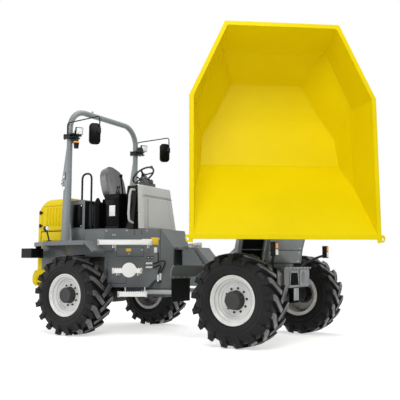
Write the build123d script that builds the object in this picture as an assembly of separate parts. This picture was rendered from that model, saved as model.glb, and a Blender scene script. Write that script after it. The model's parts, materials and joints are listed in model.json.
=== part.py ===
from build123d import *
import os
from math import cos, hypot, radians, sin, sqrt, tan

# Articulated swivel-tip site dumper, in millimetres.
# Machine axes: X forward, Y to the left, Z up, ground at z = 0, x = 0 midway between the axles.
# Every piece is made in these axes, and at the end the whole machine is shifted so that its
# origin is on the ground under the middle of its overall box.

# ---------------------------------------------------------------- driving dimensions
WHEELBASE = 2550
FRONT_AXLE_X = WHEELBASE / 2
REAR_AXLE_X = -WHEELBASE / 2
TRACK = 1880
TYRE_RADIUS = 538
AXLE_Z = 538
TYRE_WIDTH = 405
LUG_HEIGHT = 42
LUGS_PER_SIDE = 17
BEAD_RADIUS = 256
RIM_FLANGE_RADIUS = 285
RIM_WIDTH = 356
RIM_WALL = 12
HUB_RADIUS = 108
HUB_BACK = 42
AXLE_TUBE_RADIUS = 72
HUB_SEAT_GAP = 0.3

PIVOT_X = -70
STEER_FOOT = (-560, 330)
STEER_EYE = (330, 262)
STEER_Z = 575
PIN_RADIUS = 25
PIN_CLEARANCE = 0.5
LUG_RADIUS = 62
LUG_THICKNESS = 30

FRAME_BOTTOM = 620
RAIL_TOP = 1000
DECK_Z = 1436
SEAT_BODY_TOP = 1868
SEAT_PLINTH_TOP = 1840
PANEL_BOTTOM = 640
SHEET = 12
NOSE_TIP_X = -137
NOSE_TIP_HALF = 200
NOSE_TIP_TOP = 1185
NOSE_BASE_X = -282
NOSE_BASE_HALF = 300
PANEL_LENGTH = 772
PANEL_ANGLE = 31.5

HOOD_REAR_X = -2260
HOOD_FRONT_X = -1640
HOOD_HALF = 722
HOOD_TOP = 1910
HOOD_BOTTOM = 870
HOOD_WALL = 20
HOOD_REAR_RADIUS = 260
HOOD_SIDE_RADIUS = 90
FRAME_REAR_X = -2200
DOOR_REAR_X = -2140
DOOR_LENGTH = 462
DOOR_BOTTOM = 1448
DOOR_TOP = 1800
DOOR_GAP = 6
DOOR_THICKNESS = 12
DOOR_LIP = 14
KNUCKLE_RADIUS = 8

FENDER_TOP = 1265
FENDER_SHEET = 30
FENDER_OUTER = 1140

WHEEL_CENTRE = (-830, 0, 2226)
WHEEL_TILT = 24

ROPS_X = -1572
ROPS_POST_HALF = HOOD_HALF + 53
ROPS_TUBE_RADIUS = 42
ROPS_TOP = 3245
ROPS_BEND = 300
CLAMP_Z = 2775
FIT_GAP = 0.3
ROPS_SEAM_Z = 2270
ROPS_HINGE_X = -1655
ROPS_HINGE_Z = 2130

SWIVEL_X = FRONT_AXLE_X - 163
SKIP_HEADING = -52.6
RING_RADIUS = 400
RING_BOTTOM = 905
RING_TOP = 955
PEDESTAL_GAP = 5
TIP_ANGLE = 86.0
SKIP_WALL = 10
SKIP_MOUTH_TILT = 88.73
LIP_REACH = 1369
LIP_HEIGHT = 1211
RIM_FLANGE = 48
RIM_DEPTH = 40
TIP_HINGE_REACH = 940
TIP_HINGE_Z = 1620
TIP_PIN_RADIUS = 22
TIP_BOSS_RADIUS = 44
PEDESTAL_HALF = 400
ARM_SHEET = 30


# ---------------------------------------------------------------- plain shape helpers
def block(x0, x1, y0, y1, z0, z1):
    """Box between two corners."""
    return Pos((x0 + x1) / 2, (y0 + y1) / 2, (z0 + z1) / 2) * Box(x1 - x0, y1 - y0, z1 - z0)


def side_prism(points, y0, y1):
    """Outline given as (x, z), carried across from y0 to y1."""
    face = make_face(Polyline([(x, y0, z) for x, z in points], close=True))
    return extrude(face, amount=y1 - y0, dir=(0, 1, 0))


def plan_prism(points, z0, z1):
    """Outline given as (x, y), raised from z0 to z1."""
    face = make_face(Polyline([(x, y, z0) for x, y in points], close=True))
    return extrude(face, amount=z1 - z0, dir=(0, 0, 1))


def front_prism(points, x0, x1):
    """Outline given as (y, z), carried along from x0 to x1."""
    face = make_face(Polyline([(x0, y, z) for y, z in points], close=True))
    return extrude(face, amount=x1 - x0, dir=(1, 0, 0))


def rod(start, end, radius):
    """Round bar from one point to another."""
    run = Vector(*end) - Vector(*start)
    place = Plane(origin=start, z_dir=run)
    return extrude(place * Circle(radius), amount=run.length)


def pipe(points, radius, bend):
    """Round bar along straight runs joined by arcs of one bend radius."""
    path = FilletPolyline(*points, radius=bend)
    start = Plane(origin=path @ 0, z_dir=path % 0)
    return sweep(start * Circle(radius), path=path)


def across(shape):
    """The same shape on the other side of the machine."""
    return mirror(shape, about=Plane.XZ)


def both_sides(shape):
    return [shape, across(shape)]


def one(*shapes):
    """Fuse shapes into one solid body."""
    result = shapes[0]
    for shape in shapes[1:]:
        result = result + shape
    return result


def group(*shapes):
    """Keep shapes apart in one piece."""
    solids = []
    for shape in shapes:
        for item in (shape if isinstance(shape, (list, tuple)) else [shape]):
            solids += item.solids()
    return Compound(children=[Solid(s.wrapped) for s in solids]) if len(solids) > 1 else solids[0]


# ---------------------------------------------------------------- wheels
def tread_ring(inner_radius, half_width):
    """Many-sided ring about the Y axis, with one flat for each lug; inner_radius is that of its flats."""
    sides = 2 * LUGS_PER_SIDE
    outline = Plane.XZ * RegularPolygon(inner_radius, sides, major_radius=False)
    return extrude(outline, amount=half_width, both=True)


def tyre():
    """Tyre about the Y axis: carcass with sloped shoulders, and two rows of slanted traction lugs."""
    carcass_radius = TYRE_RADIUS - LUG_HEIGHT
    half = TYRE_WIDTH / 2
    body = tread_ring(carcass_radius, half - 4)
    for _ in range(2):
        end_face = body.faces().sort_by(Axis.Y)[-1]
        body = mirror(chamfer(end_face.edges(), 34, 62, reference=end_face), about=Plane.XZ)
    # across from the middle line, and forward along the tread
    lug_outline = [(-24, 70), (62, -18), (150, -98), (half, -104), (half, -42), (24, 108)]
    middle = max(abs(t) for _, t in lug_outline)
    lug_top = sqrt(TYRE_RADIUS ** 2 - middle ** 2)
    pitch = 360 / LUGS_PER_SIDE
    lugs = []
    for side in (-1, 1):
        face = make_face(Polyline([(t, side * w, 0) for w, t in lug_outline], close=True))
        bar = extrude(face, amount=lug_top - carcass_radius + 34, dir=(0, 0, 1))
        for index in range(LUGS_PER_SIDE):
            turn = pitch * (index + (0.5 if side > 0 else 0))
            lugs.append(Rot(0, turn, 0) * Pos(0, 0, carcass_radius - 34) * bar)
    body = body.fuse(*lugs) - tread_ring(BEAD_RADIUS, half + 10)
    # recess on each side for the rim's flange
    seat = RIM_WIDTH / 2 - RIM_WALL - FIT_GAP
    recess = tread_ring(RIM_FLANGE_RADIUS + FIT_GAP, half + 10) - tread_ring(RIM_FLANGE_RADIUS + 20, seat)
    return body - recess


def rim(outward):
    """Dished rim and hub about the Y axis; outward is +1 for a left wheel and -1 for a right one."""
    edge = RIM_WIDTH / 2
    seat = BEAD_RADIUS - FIT_GAP
    # radius and distance outward along the axle
    disc_back = edge - 118
    section = [(seat - RIM_WALL, -edge), (seat, -edge), (seat, edge - RIM_WALL),
               (RIM_FLANGE_RADIUS, edge - RIM_WALL), (RIM_FLANGE_RADIUS, edge),
               (seat - RIM_WALL, edge), (seat - RIM_WALL, edge - 60),
               (seat - 50, edge - 100), (HUB_RADIUS, edge - 100), (HUB_RADIUS, edge - 4), (0, edge - 4),
               (0, disc_back - HUB_BACK), (HUB_RADIUS + 16, disc_back - HUB_BACK),
               (HUB_RADIUS + 16, disc_back), (seat - 56, disc_back), (seat - RIM_WALL, edge - 80)]
    return revolve(make_face(Polyline([(r, outward * y) for r, y in section], close=True)), axis=Axis.Y)


def axle(x):
    """Rigid drive axle with a bulged middle, flanged ends and two seats under the frame."""
    hub_face = TRACK / 2 + RIM_WIDTH / 2 - 118 - HUB_BACK - HUB_SEAT_GAP
    beam = rod((x, -hub_face + 20, AXLE_Z), (x, hub_face - 20, AXLE_Z), AXLE_TUBE_RADIUS)
    bulge = rod((x, -150, AXLE_Z), (x, 150, AXLE_Z), 135)
    bulge = chamfer(bulge.edges().filter_by(GeomType.CIRCLE), 45)
    nose = rod((x, 0, AXLE_Z), (x - (190 if x > 0 else -190), 0, AXLE_Z), 62)
    ends = []
    for side in (-1, 1):
        ends.append(rod((x, side * (hub_face - 130), AXLE_Z), (x, side * hub_face, AXLE_Z), 100))
        ends.append(block(x - 90, x + 90, side * 300 - 40, side * 300 + 40, AXLE_Z, FRAME_BOTTOM))
    return one(beam, bulge, nose, *ends)


# ---------------------------------------------------------------- rear unit
PANEL_DIR = (cos(radians(PANEL_ANGLE)), sin(radians(PANEL_ANGLE)))
PANEL_REAR = (NOSE_BASE_X - PANEL_LENGTH * PANEL_DIR[0], -NOSE_BASE_HALF - PANEL_LENGTH * PANEL_DIR[1])
FENDER_INNER = -PANEL_REAR[1] + FIT_GAP
FLOOR_HALF = round(-PANEL_REAR[1] - SHEET - 1)
SEAT_BODY_HALF = HOOD_HALF - 32


def panel_place(along, outward, z):
    """Right-hand side panel frame: distance forward along the panel and outward from its face."""
    return (PANEL_REAR[0] + along * PANEL_DIR[0] + outward * PANEL_DIR[1],
            PANEL_REAR[1] + along * PANEL_DIR[1] - outward * PANEL_DIR[0], z)


def panel_block(along0, along1, out0, out1, z0, z1):
    """Box aligned with the right-hand side panel."""
    corners = ((along0, out0), (along1, out0), (along1, out1), (along0, out1))
    return plan_prism([panel_place(along, outward, 0)[:2] for along, outward in corners], z0, z1)


def rear_frame():
    """Main rails, crossmembers, belly and the forked nose with its pivot pin."""
    rail_y, rail_t = 300, 40
    rear_x = FRAME_REAR_X
    parts = []
    for side in (-1, 1):
        y0, y1 = sorted((side * (rail_y - rail_t), side * rail_y))
        parts.append(side_prism([(rear_x, 700), (rear_x + 260, FRAME_BOTTOM), (NOSE_BASE_X, FRAME_BOTTOM),
                                 (NOSE_BASE_X, RAIL_TOP), (rear_x, RAIL_TOP)], y0, y1))
    for x in (rear_x, -1500, -1010, NOSE_BASE_X - 60):
        parts.append(block(x, x + 60, -rail_y, rail_y, 720, RAIL_TOP - 60))
    parts.append(block(-1000, NOSE_BASE_X, -190, 190, 500, FRAME_BOTTOM))
    for ear in steering_ears(STEER_FOOT, 180, -660, -500, True):
        parts += both_sides(ear)
    # forked nose: tapered box, open in front between the two pivot lugs
    nose = plan_prism([(NOSE_BASE_X - 40, -NOSE_BASE_HALF), (NOSE_BASE_X, -NOSE_BASE_HALF),
                       (NOSE_TIP_X, -NOSE_TIP_HALF), (NOSE_TIP_X, NOSE_TIP_HALF),
                       (NOSE_BASE_X, NOSE_BASE_HALF), (NOSE_BASE_X - 40, NOSE_BASE_HALF)],
                      FRAME_BOTTOM, DECK_Z)
    wall = 26
    core = plan_prism([(NOSE_BASE_X, -NOSE_BASE_HALF + wall + 8), (NOSE_TIP_X + 1, -NOSE_TIP_HALF + wall),
                       (NOSE_TIP_X + 1, NOSE_TIP_HALF - wall), (NOSE_BASE_X, NOSE_BASE_HALF - wall - 8)],
                      FRAME_BOTTOM + LUG_THICKNESS, NOSE_TIP_TOP - LUG_THICKNESS)
    slope = side_prism([(NOSE_BASE_X + 6, DECK_Z + 10), (NOSE_BASE_X + 6, DECK_Z), (NOSE_TIP_X, NOSE_TIP_TOP),
                        (NOSE_TIP_X + 10, NOSE_TIP_TOP), (NOSE_TIP_X + 10, DECK_Z + 10)], -400, 400)
    lower_cut = side_prism([(NOSE_TIP_X - 40, FRAME_BOTTOM - 5), (NOSE_TIP_X + 10, FRAME_BOTTOM - 5),
                            (NOSE_TIP_X + 10, 790), (NOSE_TIP_X, 790)], LUG_RADIUS, 400)
    parts.append(nose - core - slope - lower_cut - across(lower_cut))
    for z in (FRAME_BOTTOM, NOSE_TIP_TOP - LUG_THICKNESS):
        lug = plan_prism([(NOSE_TIP_X - 20, -LUG_RADIUS * 1.5), (PIVOT_X, -LUG_RADIUS), (PIVOT_X, LUG_RADIUS),
                          (NOSE_TIP_X - 20, LUG_RADIUS * 1.5)], z, z + LUG_THICKNESS)
        parts.append(lug + Pos(PIVOT_X, 0, z + LUG_THICKNESS / 2) * Cylinder(LUG_RADIUS, LUG_THICKNESS))
    parts.append(rod((PIVOT_X, 0, FRAME_BOTTOM - 15), (PIVOT_X, 0, NOSE_TIP_TOP + 12), PIN_RADIUS))
    parts.append(rod((PIVOT_X, 0, NOSE_TIP_TOP), (PIVOT_X, 0, NOSE_TIP_TOP + 14), PIN_RADIUS + 14))
    return one(*parts)


def side_body():
    """Right-hand side housing: angled panel, straight panel beside the fender and the deck edge."""
    inner_y = -304
    front_gap = 4
    outline = [(PANEL_REAR[0] - 360, PANEL_REAR[1]), PANEL_REAR,
               panel_place(PANEL_LENGTH - front_gap, 0, 0)[:2],
               (NOSE_BASE_X - front_gap - 6, inner_y), (PANEL_REAR[0] - 360, inner_y)]
    upper = plan_prism(outline, 1056, DECK_Z)
    lower = plan_prism([PANEL_REAR, outline[2], outline[3], (PANEL_REAR[0], inner_y)], PANEL_BOTTOM, 1056)
    cut = plan_prism([(PANEL_REAR[0] - 360 + SHEET, PANEL_REAR[1] + SHEET),
                      (PANEL_REAR[0] - 4, PANEL_REAR[1] + SHEET),
                      panel_place(PANEL_LENGTH - 70, -SHEET, 0)[:2],
                      (PANEL_REAR[0] - 360 + SHEET, inner_y - SHEET)], 1056 + SHEET, DECK_Z - SHEET)
    low_cut = plan_prism([(PANEL_REAR[0] + SHEET, PANEL_REAR[1] + SHEET + 10),
                          panel_place(PANEL_LENGTH - 70, -SHEET, 0)[:2],
                          (PANEL_REAR[0] + SHEET, inner_y - SHEET)], PANEL_BOTTOM + SHEET, 1060)
    notch = side_prism([(-430, PANEL_BOTTOM - 1), (-200, PANEL_BOTTOM - 1), (-200, 740), (-350, 740)],
                       -600, inner_y + 1)
    return (upper + lower) - cut - low_cut - notch


def steps():
    """Right-hand steps: three serrated treads on brackets that reach out from the side panel."""
    tread_in, tread_out, sheet = 190, 330, 26
    treads = []
    # height of the tread, start and end along the panel, bracket drop, first bracket from the start
    rows = ((1249, -45, 677, 70, 200), (874, 153, 548, 60, 60), (567, 230, 617, 0, 60))
    for z, start, end, drop, drop_in in rows:
        board = panel_block(start, end, tread_in, tread_out, z - sheet / 2, z + sheet / 2)
        teeth = int((end - start) / 48)
        for index in range(teeth):
            middle = start + (index + 0.5) * (end - start) / teeth
            board -= panel_block(middle - 9, middle + 9, tread_out - 12, tread_out + 1, z - sheet, z + sheet)
            board -= panel_block(middle - 14, middle + 14, tread_in + 26, tread_out - 34, z - sheet,
                                 z + sheet)
        piece = board
        if drop:
            for spot in (start + drop_in, end - 60):
                under = z - sheet / 2
                piece += panel_block(spot - 5, spot + 5, FIT_GAP, tread_out - 20, under - drop, under)
        else:
            for spot in (start + drop_in, end - 60):
                piece += panel_block(spot - 8, spot + 8, -14, tread_in + 30, z - sheet / 2, z + sheet / 2)
                piece += panel_block(spot - 8, spot + 8, -14, -2, z - sheet / 2, PANEL_BOTTOM)
        treads.append(piece)
    return treads


def fender():
    """Right-hand rear fender: shelf with cut-back rear corner, sloped front and inner wall."""
    z0 = FENDER_TOP - FENDER_SHEET
    hood_side, hood_front = -HOOD_HALF - FIT_GAP, HOOD_FRONT_X + FIT_GAP
    shelf = plan_prism([(-1680, -FENDER_OUTER), (-2096, -905), (-2096, hood_side), (hood_front, hood_side),
                        (hood_front, -FENDER_INNER), (-930, -FENDER_INNER), (-930, -FENDER_OUTER)],
                       z0, FENDER_TOP)
    slope = side_prism([(-932, FENDER_TOP), (-932, z0), (-784, 1108), (-764, 1130)],
                       -FENDER_OUTER, -FENDER_INNER - 25)
    skirt = plan_prism([(-1680, -FENDER_OUTER), (-2096, -905), (-2096, -893), (-1676, -FENDER_OUTER + 12),
                        (-930, -FENDER_OUTER + 12), (-930, -FENDER_OUTER)], z0 - 28, z0 + 4)
    wall = block(hood_front, -932, -FENDER_INNER - 14, -FENDER_INNER, 1085, z0 + 4)
    return one(shelf, slope, skirt, wall)


def hood_outer(inset):
    """Rounded hood volume, drawn in by the wall thickness."""
    x0, x1 = HOOD_REAR_X + inset, HOOD_FRONT_X - inset
    half, top = HOOD_HALF - inset, HOOD_TOP - inset
    radius = HOOD_REAR_RADIUS - inset
    turn = radius * (1 - sqrt(0.5))
    outline = [Line((x1, 0, HOOD_BOTTOM), (x1, 0, top)), Line((x1, 0, top), (x0 + radius, 0, top)),
               ThreePointArc((x0 + radius, 0, top), (x0 + turn, 0, top - turn), (x0, 0, top - radius)),
               Line((x0, 0, top - radius), (x0, 0, HOOD_BOTTOM)),
               Line((x0, 0, HOOD_BOTTOM), (x1, 0, HOOD_BOTTOM))]
    body = extrude(make_face(outline), amount=half, dir=(0, 1, 0), both=True)
    corner = max(HOOD_SIDE_RADIUS - inset, 5)
    edges = [e for e in body.edges() if abs(abs(e.center().Y) - half) < 1 and e.center().Z > HOOD_BOTTOM + 10
             and e.center().X < x1 - 5]
    return fillet(edges, corner)


def door_opening():
    """Right-hand opening in the hood wall, with a lip all round for the door to close on."""
    opening = None
    for grow, depth in ((DOOR_GAP, DOOR_THICKNESS + FIT_GAP), (-DOOR_LIP, HOOD_WALL + 8)):
        cut = block(DOOR_REAR_X - grow, DOOR_REAR_X + DOOR_LENGTH + grow, -HOOD_HALF - 50, -HOOD_HALF + depth,
                    DOOR_BOTTOM - grow, DOOR_TOP + grow)
        opening = cut if opening is None else opening + cut
    return one(opening, *door_knuckles(KNUCKLE_RADIUS + 2, 2))


def engine_hood():
    """Hood shell with side openings for the doors and slots in its rear wall."""
    shell = hood_outer(0) - hood_outer(HOOD_WALL)
    inner_half = HOOD_HALF - HOOD_WALL
    shell -= block(HOOD_REAR_X + HOOD_WALL, HOOD_FRONT_X - HOOD_WALL, -inner_half, inner_half,
                   HOOD_BOTTOM - 1, HOOD_BOTTOM + 60)
    shell = shell - door_opening() - across(door_opening())
    shell -= block(HOOD_FRONT_X - 2 * HOOD_WALL, HOOD_FRONT_X + 1, -330, 330, HOOD_BOTTOM - 1, RAIL_TOP + 20)
    for row in range(7):
        z = 1120 + row * 62
        shell -= block(HOOD_REAR_X - 10, HOOD_REAR_X + HOOD_WALL + 10, -420, 420, z, z + 30)
    return shell


def door_knuckles(radius, slack):
    """Upright hinge knuckles at the rear edge of the right-hand door."""
    return [rod((DOOR_REAR_X, -HOOD_HALF, z - 30 - slack), (DOOR_REAR_X, -HOOD_HALF, z + 30 + slack), radius)
            for z in (DOOR_BOTTOM + 70, DOOR_TOP - 70)]


def hood_door():
    """Right-hand door, flush with the hood, with pressed upright grooves and two hinge knuckles."""
    door = block(DOOR_REAR_X, DOOR_REAR_X + DOOR_LENGTH, -HOOD_HALF, -HOOD_HALF + DOOR_THICKNESS,
                 DOOR_BOTTOM, DOOR_TOP)
    door = chamfer(door.faces().sort_by(Axis.Y)[0].edges(), 4)
    for index in range(6):
        x = DOOR_REAR_X + 110 + index * 60
        groove = block(x, x + 26, -HOOD_HALF - 1, -HOOD_HALF + 7, DOOR_BOTTOM + 60, DOOR_TOP - 30)
        door -= groove
    return one(door, *door_knuckles(KNUCKLE_RADIUS, 0))


def engine_block():
    return block(-2120, -1720, -300, 300, RAIL_TOP + FIT_GAP, 1600)


def rear_bumper():
    """Cast counterweight under the hood, bulged outward at its lower edge."""
    top, half = HOOD_BOTTOM - FIT_GAP, HOOD_HALF - 22
    outline = [(half, 640), (half + 40, 700), (half + 40, 780), (half, top)]
    outline += [(-y, z) for y, z in reversed(outline)]
    side = front_prism(outline, HOOD_REAR_X - 30, FRAME_REAR_X - FIT_GAP)
    wings = both_sides(block(FRAME_REAR_X - 20, FRAME_REAR_X + 200, -half - 30, -half + 30, 690, top))
    return one(chamfer(side.edges().filter_by(Axis.Y).sort_by(Axis.X)[:2], 20), *wings)


def deck():
    """Operator's floor, the body behind the seat and the seat plinth."""
    floor_z = DECK_Z + 1
    half = SEAT_BODY_HALF
    floor = plan_prism([(-1335, -FLOOR_HALF), (PANEL_REAR[0] - 4, -FLOOR_HALF), (-400, -310), (-400, 310),
                        (PANEL_REAR[0] - 4, FLOOR_HALF), (-1335, FLOOR_HALF)], floor_z, floor_z + 8)
    rear = block(-1620, -1330, -half, half, floor_z, SEAT_BODY_TOP)
    bulkhead = block(-1620, -1596, -half, half, RAIL_TOP + FIT_GAP, floor_z)
    rear = chamfer(rear.edges().filter_by(Axis.Y).sort_by(Axis.Z)[-2:], 16)
    plinth = block(-1331, -960, -240, 240, floor_z, SEAT_PLINTH_TOP)
    recess = block(-1345, -1329, 90 - half, 220 - half, 1500, SEAT_BODY_TOP - 48)
    return one(floor, rear, plinth, bulkhead) - recess - across(recess)


def seat():
    """Moulded bucket: cushion with raised sides and a tall rounded back."""
    cushion = block(-1310, -900, -240, 240, SEAT_PLINTH_TOP + FIT_GAP, 1940)
    cushion = fillet(cushion.edges().filter_by(Axis.Z), 70)
    cushion = fillet(cushion.faces().sort_by(Axis.Z)[-1].edges(), 25)
    back = extrude(Plane(origin=(-1345, 0, 2195), x_dir=(0, 1, 0), z_dir=(-1, 0, 0.18))
                   * RectangleRounded(500, 590, 190), amount=90)
    hollow = extrude(Plane(origin=(-1330, 0, 2200), x_dir=(0, 1, 0), z_dir=(-1, 0, 0.18))
                     * RectangleRounded(360, 460, 150), amount=50)
    foot = block(-1440, -1280, -150, 150, SEAT_BODY_TOP + FIT_GAP, 1950)
    return one(cushion, back - hollow, foot)


def control_box():
    """Black console beside the seat with its joystick, and the tall narrow canister behind it."""
    box = block(-1090, -815, -560, -330, DECK_Z + 9.3, 1915)
    box = chamfer(box.edges().filter_by(Axis.Z), 12)
    arm = block(-1200, -860, -420, -330, 1915, 1960)
    knob = Pos(-940, -375, 2218) * chamfer(Cylinder(24, 50).edges().filter_by(GeomType.CIRCLE), 10)
    lever = rod((-900, -375, 1955), (-938, -375, 2200), 12) + knob
    return one(box, arm, lever)


def canister():
    y = 90 - FLOOR_HALF
    body = rod((-1170, y, DECK_Z + 9.3), (-1170, y, 1800), 60)
    top = Pos(-1170, y, 1845) * Cone(60, 16, 90)
    return body + top


def front_console():
    """Tapered front console shell, with a sunk panel on its front."""
    floor_z, top_z = DECK_Z + 9.3, 2070
    bottom = [(-500, -400), (-590, -530), (-800, -505), (-800, 505), (-590, 530), (-500, 400)]
    top = [(-572, -335), (-620, -400), (-800, -392), (-800, 392), (-620, 400), (-572, 335)]
    lower = make_face(Polyline([(x, y, floor_z) for x, y in bottom], close=True))
    upper = make_face(Polyline([(x, y, top_z) for x, y in top], close=True))
    body = loft([lower, upper], ruled=True)
    body = fillet(body.edges().sort_by(Axis.Z)[-6:], 18)
    hollow = side_prism([(-801, floor_z - 1), (-560, floor_z - 1), (-610, top_z - 60), (-801, top_z - 60)],
                        -360, 360)
    return body - hollow


def steering_column():
    base = block(-850, -690, -130, 130, 2070 + FIT_GAP, 2130)
    base = chamfer(base.faces().sort_by(Axis.Z)[-1].edges(), 20)
    hub = Vector(*WHEEL_CENTRE)
    axis = Vector(-sin(radians(WHEEL_TILT)), 0, cos(radians(WHEEL_TILT)))
    return base + rod(hub - axis * 130, hub - axis * (13 + FIT_GAP), 34)


def steering_wheel():
    """Tilted rim with three spokes, hub and spinner knob."""
    tilt = radians(WHEEL_TILT)
    place = Plane(origin=WHEEL_CENTRE, x_dir=(cos(tilt), 0, sin(tilt)),
                  z_dir=(-sin(tilt), 0, cos(tilt))).location
    ring = place * revolve(Plane.XZ * Pos(168, 0) * RegularPolygon(14, 8), axis=Axis.Z)
    hub = place * Cylinder(38, 26)
    spokes = [place * Rot(0, 0, a) * Pos(84, 0, 0) * Box(150, 22, 12) for a in (60, 180, 300)]
    ball = chamfer(Cylinder(22, 40).edges().filter_by(GeomType.CIRCLE), 9)
    knob = place * Rot(0, 0, 40) * (Pos(168, 0, 30) * Cylinder(8, 50) + Pos(168, 0, 62) * ball)
    return one(ring, hub, *spokes, knob)


def grab_rails():
    """Black bent rails: an upright loop by the entrance on each side."""
    y = 35 - min(FLOOR_HALF, SEAT_BODY_HALF)
    rail = pipe([(-1245, y, DECK_Z + 9.3), (-1245, y, 2190), (-1330, y, 2260), (-1420, y, 2190),
                 (-1420, y, SEAT_BODY_TOP + FIT_GAP)], 14, 40)
    return both_sides(rail)


def console_handles():
    handle = pipe([(-690, -408.3, 2030), (-690, -580, 2040), (-690, -600, 1930), (-690, -600, 1660),
                   (-690, -585, 1540), (-690, -503.6, 1555)], 17, 30)
    return both_sides(handle)


def rops_post():
    """Right-hand lower post on its foot, with the ears that carry the fold pivot."""
    foot_z = FENDER_TOP + 0.3
    x, y = ROPS_X, -ROPS_POST_HALF
    tube = rod((x, y, foot_z), (x, y, ROPS_SEAM_Z - 1), ROPS_TUBE_RADIUS)
    flare = side_prism([(x - 120, foot_z), (x + 90, foot_z), (x + 44, foot_z + 330), (x - 50, foot_z + 560),
                        (x - 50, ROPS_HINGE_Z - 60), (x - 95, ROPS_HINGE_Z - 120), (x - 110, foot_z + 200)],
                       y - 8, y + 8)
    foot = block(x - 130, x + 100, y - 60, y + 45, foot_z, foot_z + 16)
    ears = []
    for shift in (-30, 30):
        ear = side_prism([(x - 20, ROPS_HINGE_Z - 60), (ROPS_HINGE_X - 30, ROPS_HINGE_Z - 60),
                          (ROPS_HINGE_X - 34, ROPS_HINGE_Z + 30), (x - 20, ROPS_HINGE_Z + 30)],
                         y + shift - 6, y + shift + 6)
        ears.append(ear)
    pin = rod((ROPS_HINGE_X, y - 42, ROPS_HINGE_Z), (ROPS_HINGE_X, y + 42, ROPS_HINGE_Z), 12)
    return one(tube, flare, foot, *ears, pin)


def rops_hoop():
    """Folding upper hoop: one bent tube, with a gusset on each leg that runs down to the pivot."""
    half = ROPS_POST_HALF
    bend_x = ROPS_X
    hoop = pipe([(bend_x, -half, ROPS_SEAM_Z + 1), (bend_x, -half, ROPS_TOP - ROPS_TUBE_RADIUS),
                 (bend_x, half, ROPS_TOP - ROPS_TUBE_RADIUS), (bend_x, half, ROPS_SEAM_Z + 1)],
                ROPS_TUBE_RADIUS, ROPS_BEND)
    parts = [hoop]
    for side in (-1, 1):
        y = side * half
        plate = side_prism([(bend_x - 20, ROPS_SEAM_Z + 2), (bend_x - 20, ROPS_SEAM_Z + 400),
                            (bend_x - 46, ROPS_SEAM_Z + 330), (ROPS_HINGE_X - 28, ROPS_HINGE_Z + 60),
                            (ROPS_HINGE_X - 28, ROPS_HINGE_Z - 20), (ROPS_HINGE_X + 20, ROPS_HINGE_Z - 30),
                            (ROPS_HINGE_X + 20, ROPS_SEAM_Z + 2)], y - 18, y + 18)
        plate -= rod((ROPS_HINGE_X, y - 30, ROPS_HINGE_Z), (ROPS_HINGE_X, y + 30, ROPS_HINGE_Z), 12.6)
        parts.append(plate)
    return one(*parts)


def mirrors():
    """Rod arms and rounded mirror heads, carried forward of the hoop on both sides."""
    arm = pipe([(ROPS_X, -ROPS_POST_HALF - ROPS_TUBE_RADIUS - 9, CLAMP_Z + 25),
                (ROPS_X, -ROPS_POST_HALF - ROPS_TUBE_RADIUS - 9, 2985),
                (-1000, -ROPS_POST_HALF - 75, 3010), (-985, -ROPS_POST_HALF - 75, 2780),
                (-1020, -ROPS_POST_HALF - 75, 2760)], 7, 12)
    place = Plane(origin=(-1030, -ROPS_POST_HALF - 75, 2762), x_dir=(0.25, -0.97, 0), z_dir=(-0.97, -0.25, 0))
    head = extrude(place * RectangleRounded(150, 320, 40), amount=20, both=True)
    return both_sides(arm + head)


def clamps():
    """Clamp blocks, work lamps and the beacon on the hoop legs."""
    x, y = ROPS_X, -ROPS_POST_HALF
    collar = block(x - 62, x + 66, y - 66, y + 62, CLAMP_Z, CLAMP_Z + 25)
    collar -= rod((x, y, CLAMP_Z - 50), (x, y, CLAMP_Z + 80), ROPS_TUBE_RADIUS + FIT_GAP)
    bracket = block(x + 50, x + 150, y - 20, y + 20, CLAMP_Z, CLAMP_Z + 18)
    lamp = block(x + 95, x + 165, y - 10, y + 80, CLAMP_Z + 16, CLAMP_Z + 95)
    lamp = chamfer(lamp.faces().sort_by(Axis.X)[-1].edges(), 10)
    right = one(collar, bracket, lamp)
    beacon = rod((x + 95, y + 5, CLAMP_Z + 1), (x + 95, y + 5, CLAMP_Z - 85), 38)
    return [one(right, beacon), across(right)]


def rear_lamps():
    """Tail-lamp boxes below the fenders, and a lamp on a bent stalk on each shelf."""
    inner = -HOOD_HALF - 58
    box = block(-2240, -2040, inner - 230, inner, 1045, 1180)
    hanger = block(-2096, -2060, inner - 100, inner - 20, 1180, FENDER_TOP - FENDER_SHEET)
    foot = block(-1665, -1615, -1085, -1035, FENDER_TOP, FENDER_TOP + 12)
    stalk = rod((-1640, -1060, FENDER_TOP + 6), (-1700, -1060, FENDER_TOP + 175), 11)
    lens = rod((-1725, -1060, 1446), (-1685, -1060, 1452), 36)
    right = [box + hanger, one(foot, stalk, lens)]
    return right + [across(p) for p in right]


# ---------------------------------------------------------------- front unit
FRONT_FACE_X = FRONT_AXLE_X + 325
FRONT_HALF = 400
FRONT_BOTTOM = 660
FRONT_TOP = 926


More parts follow.
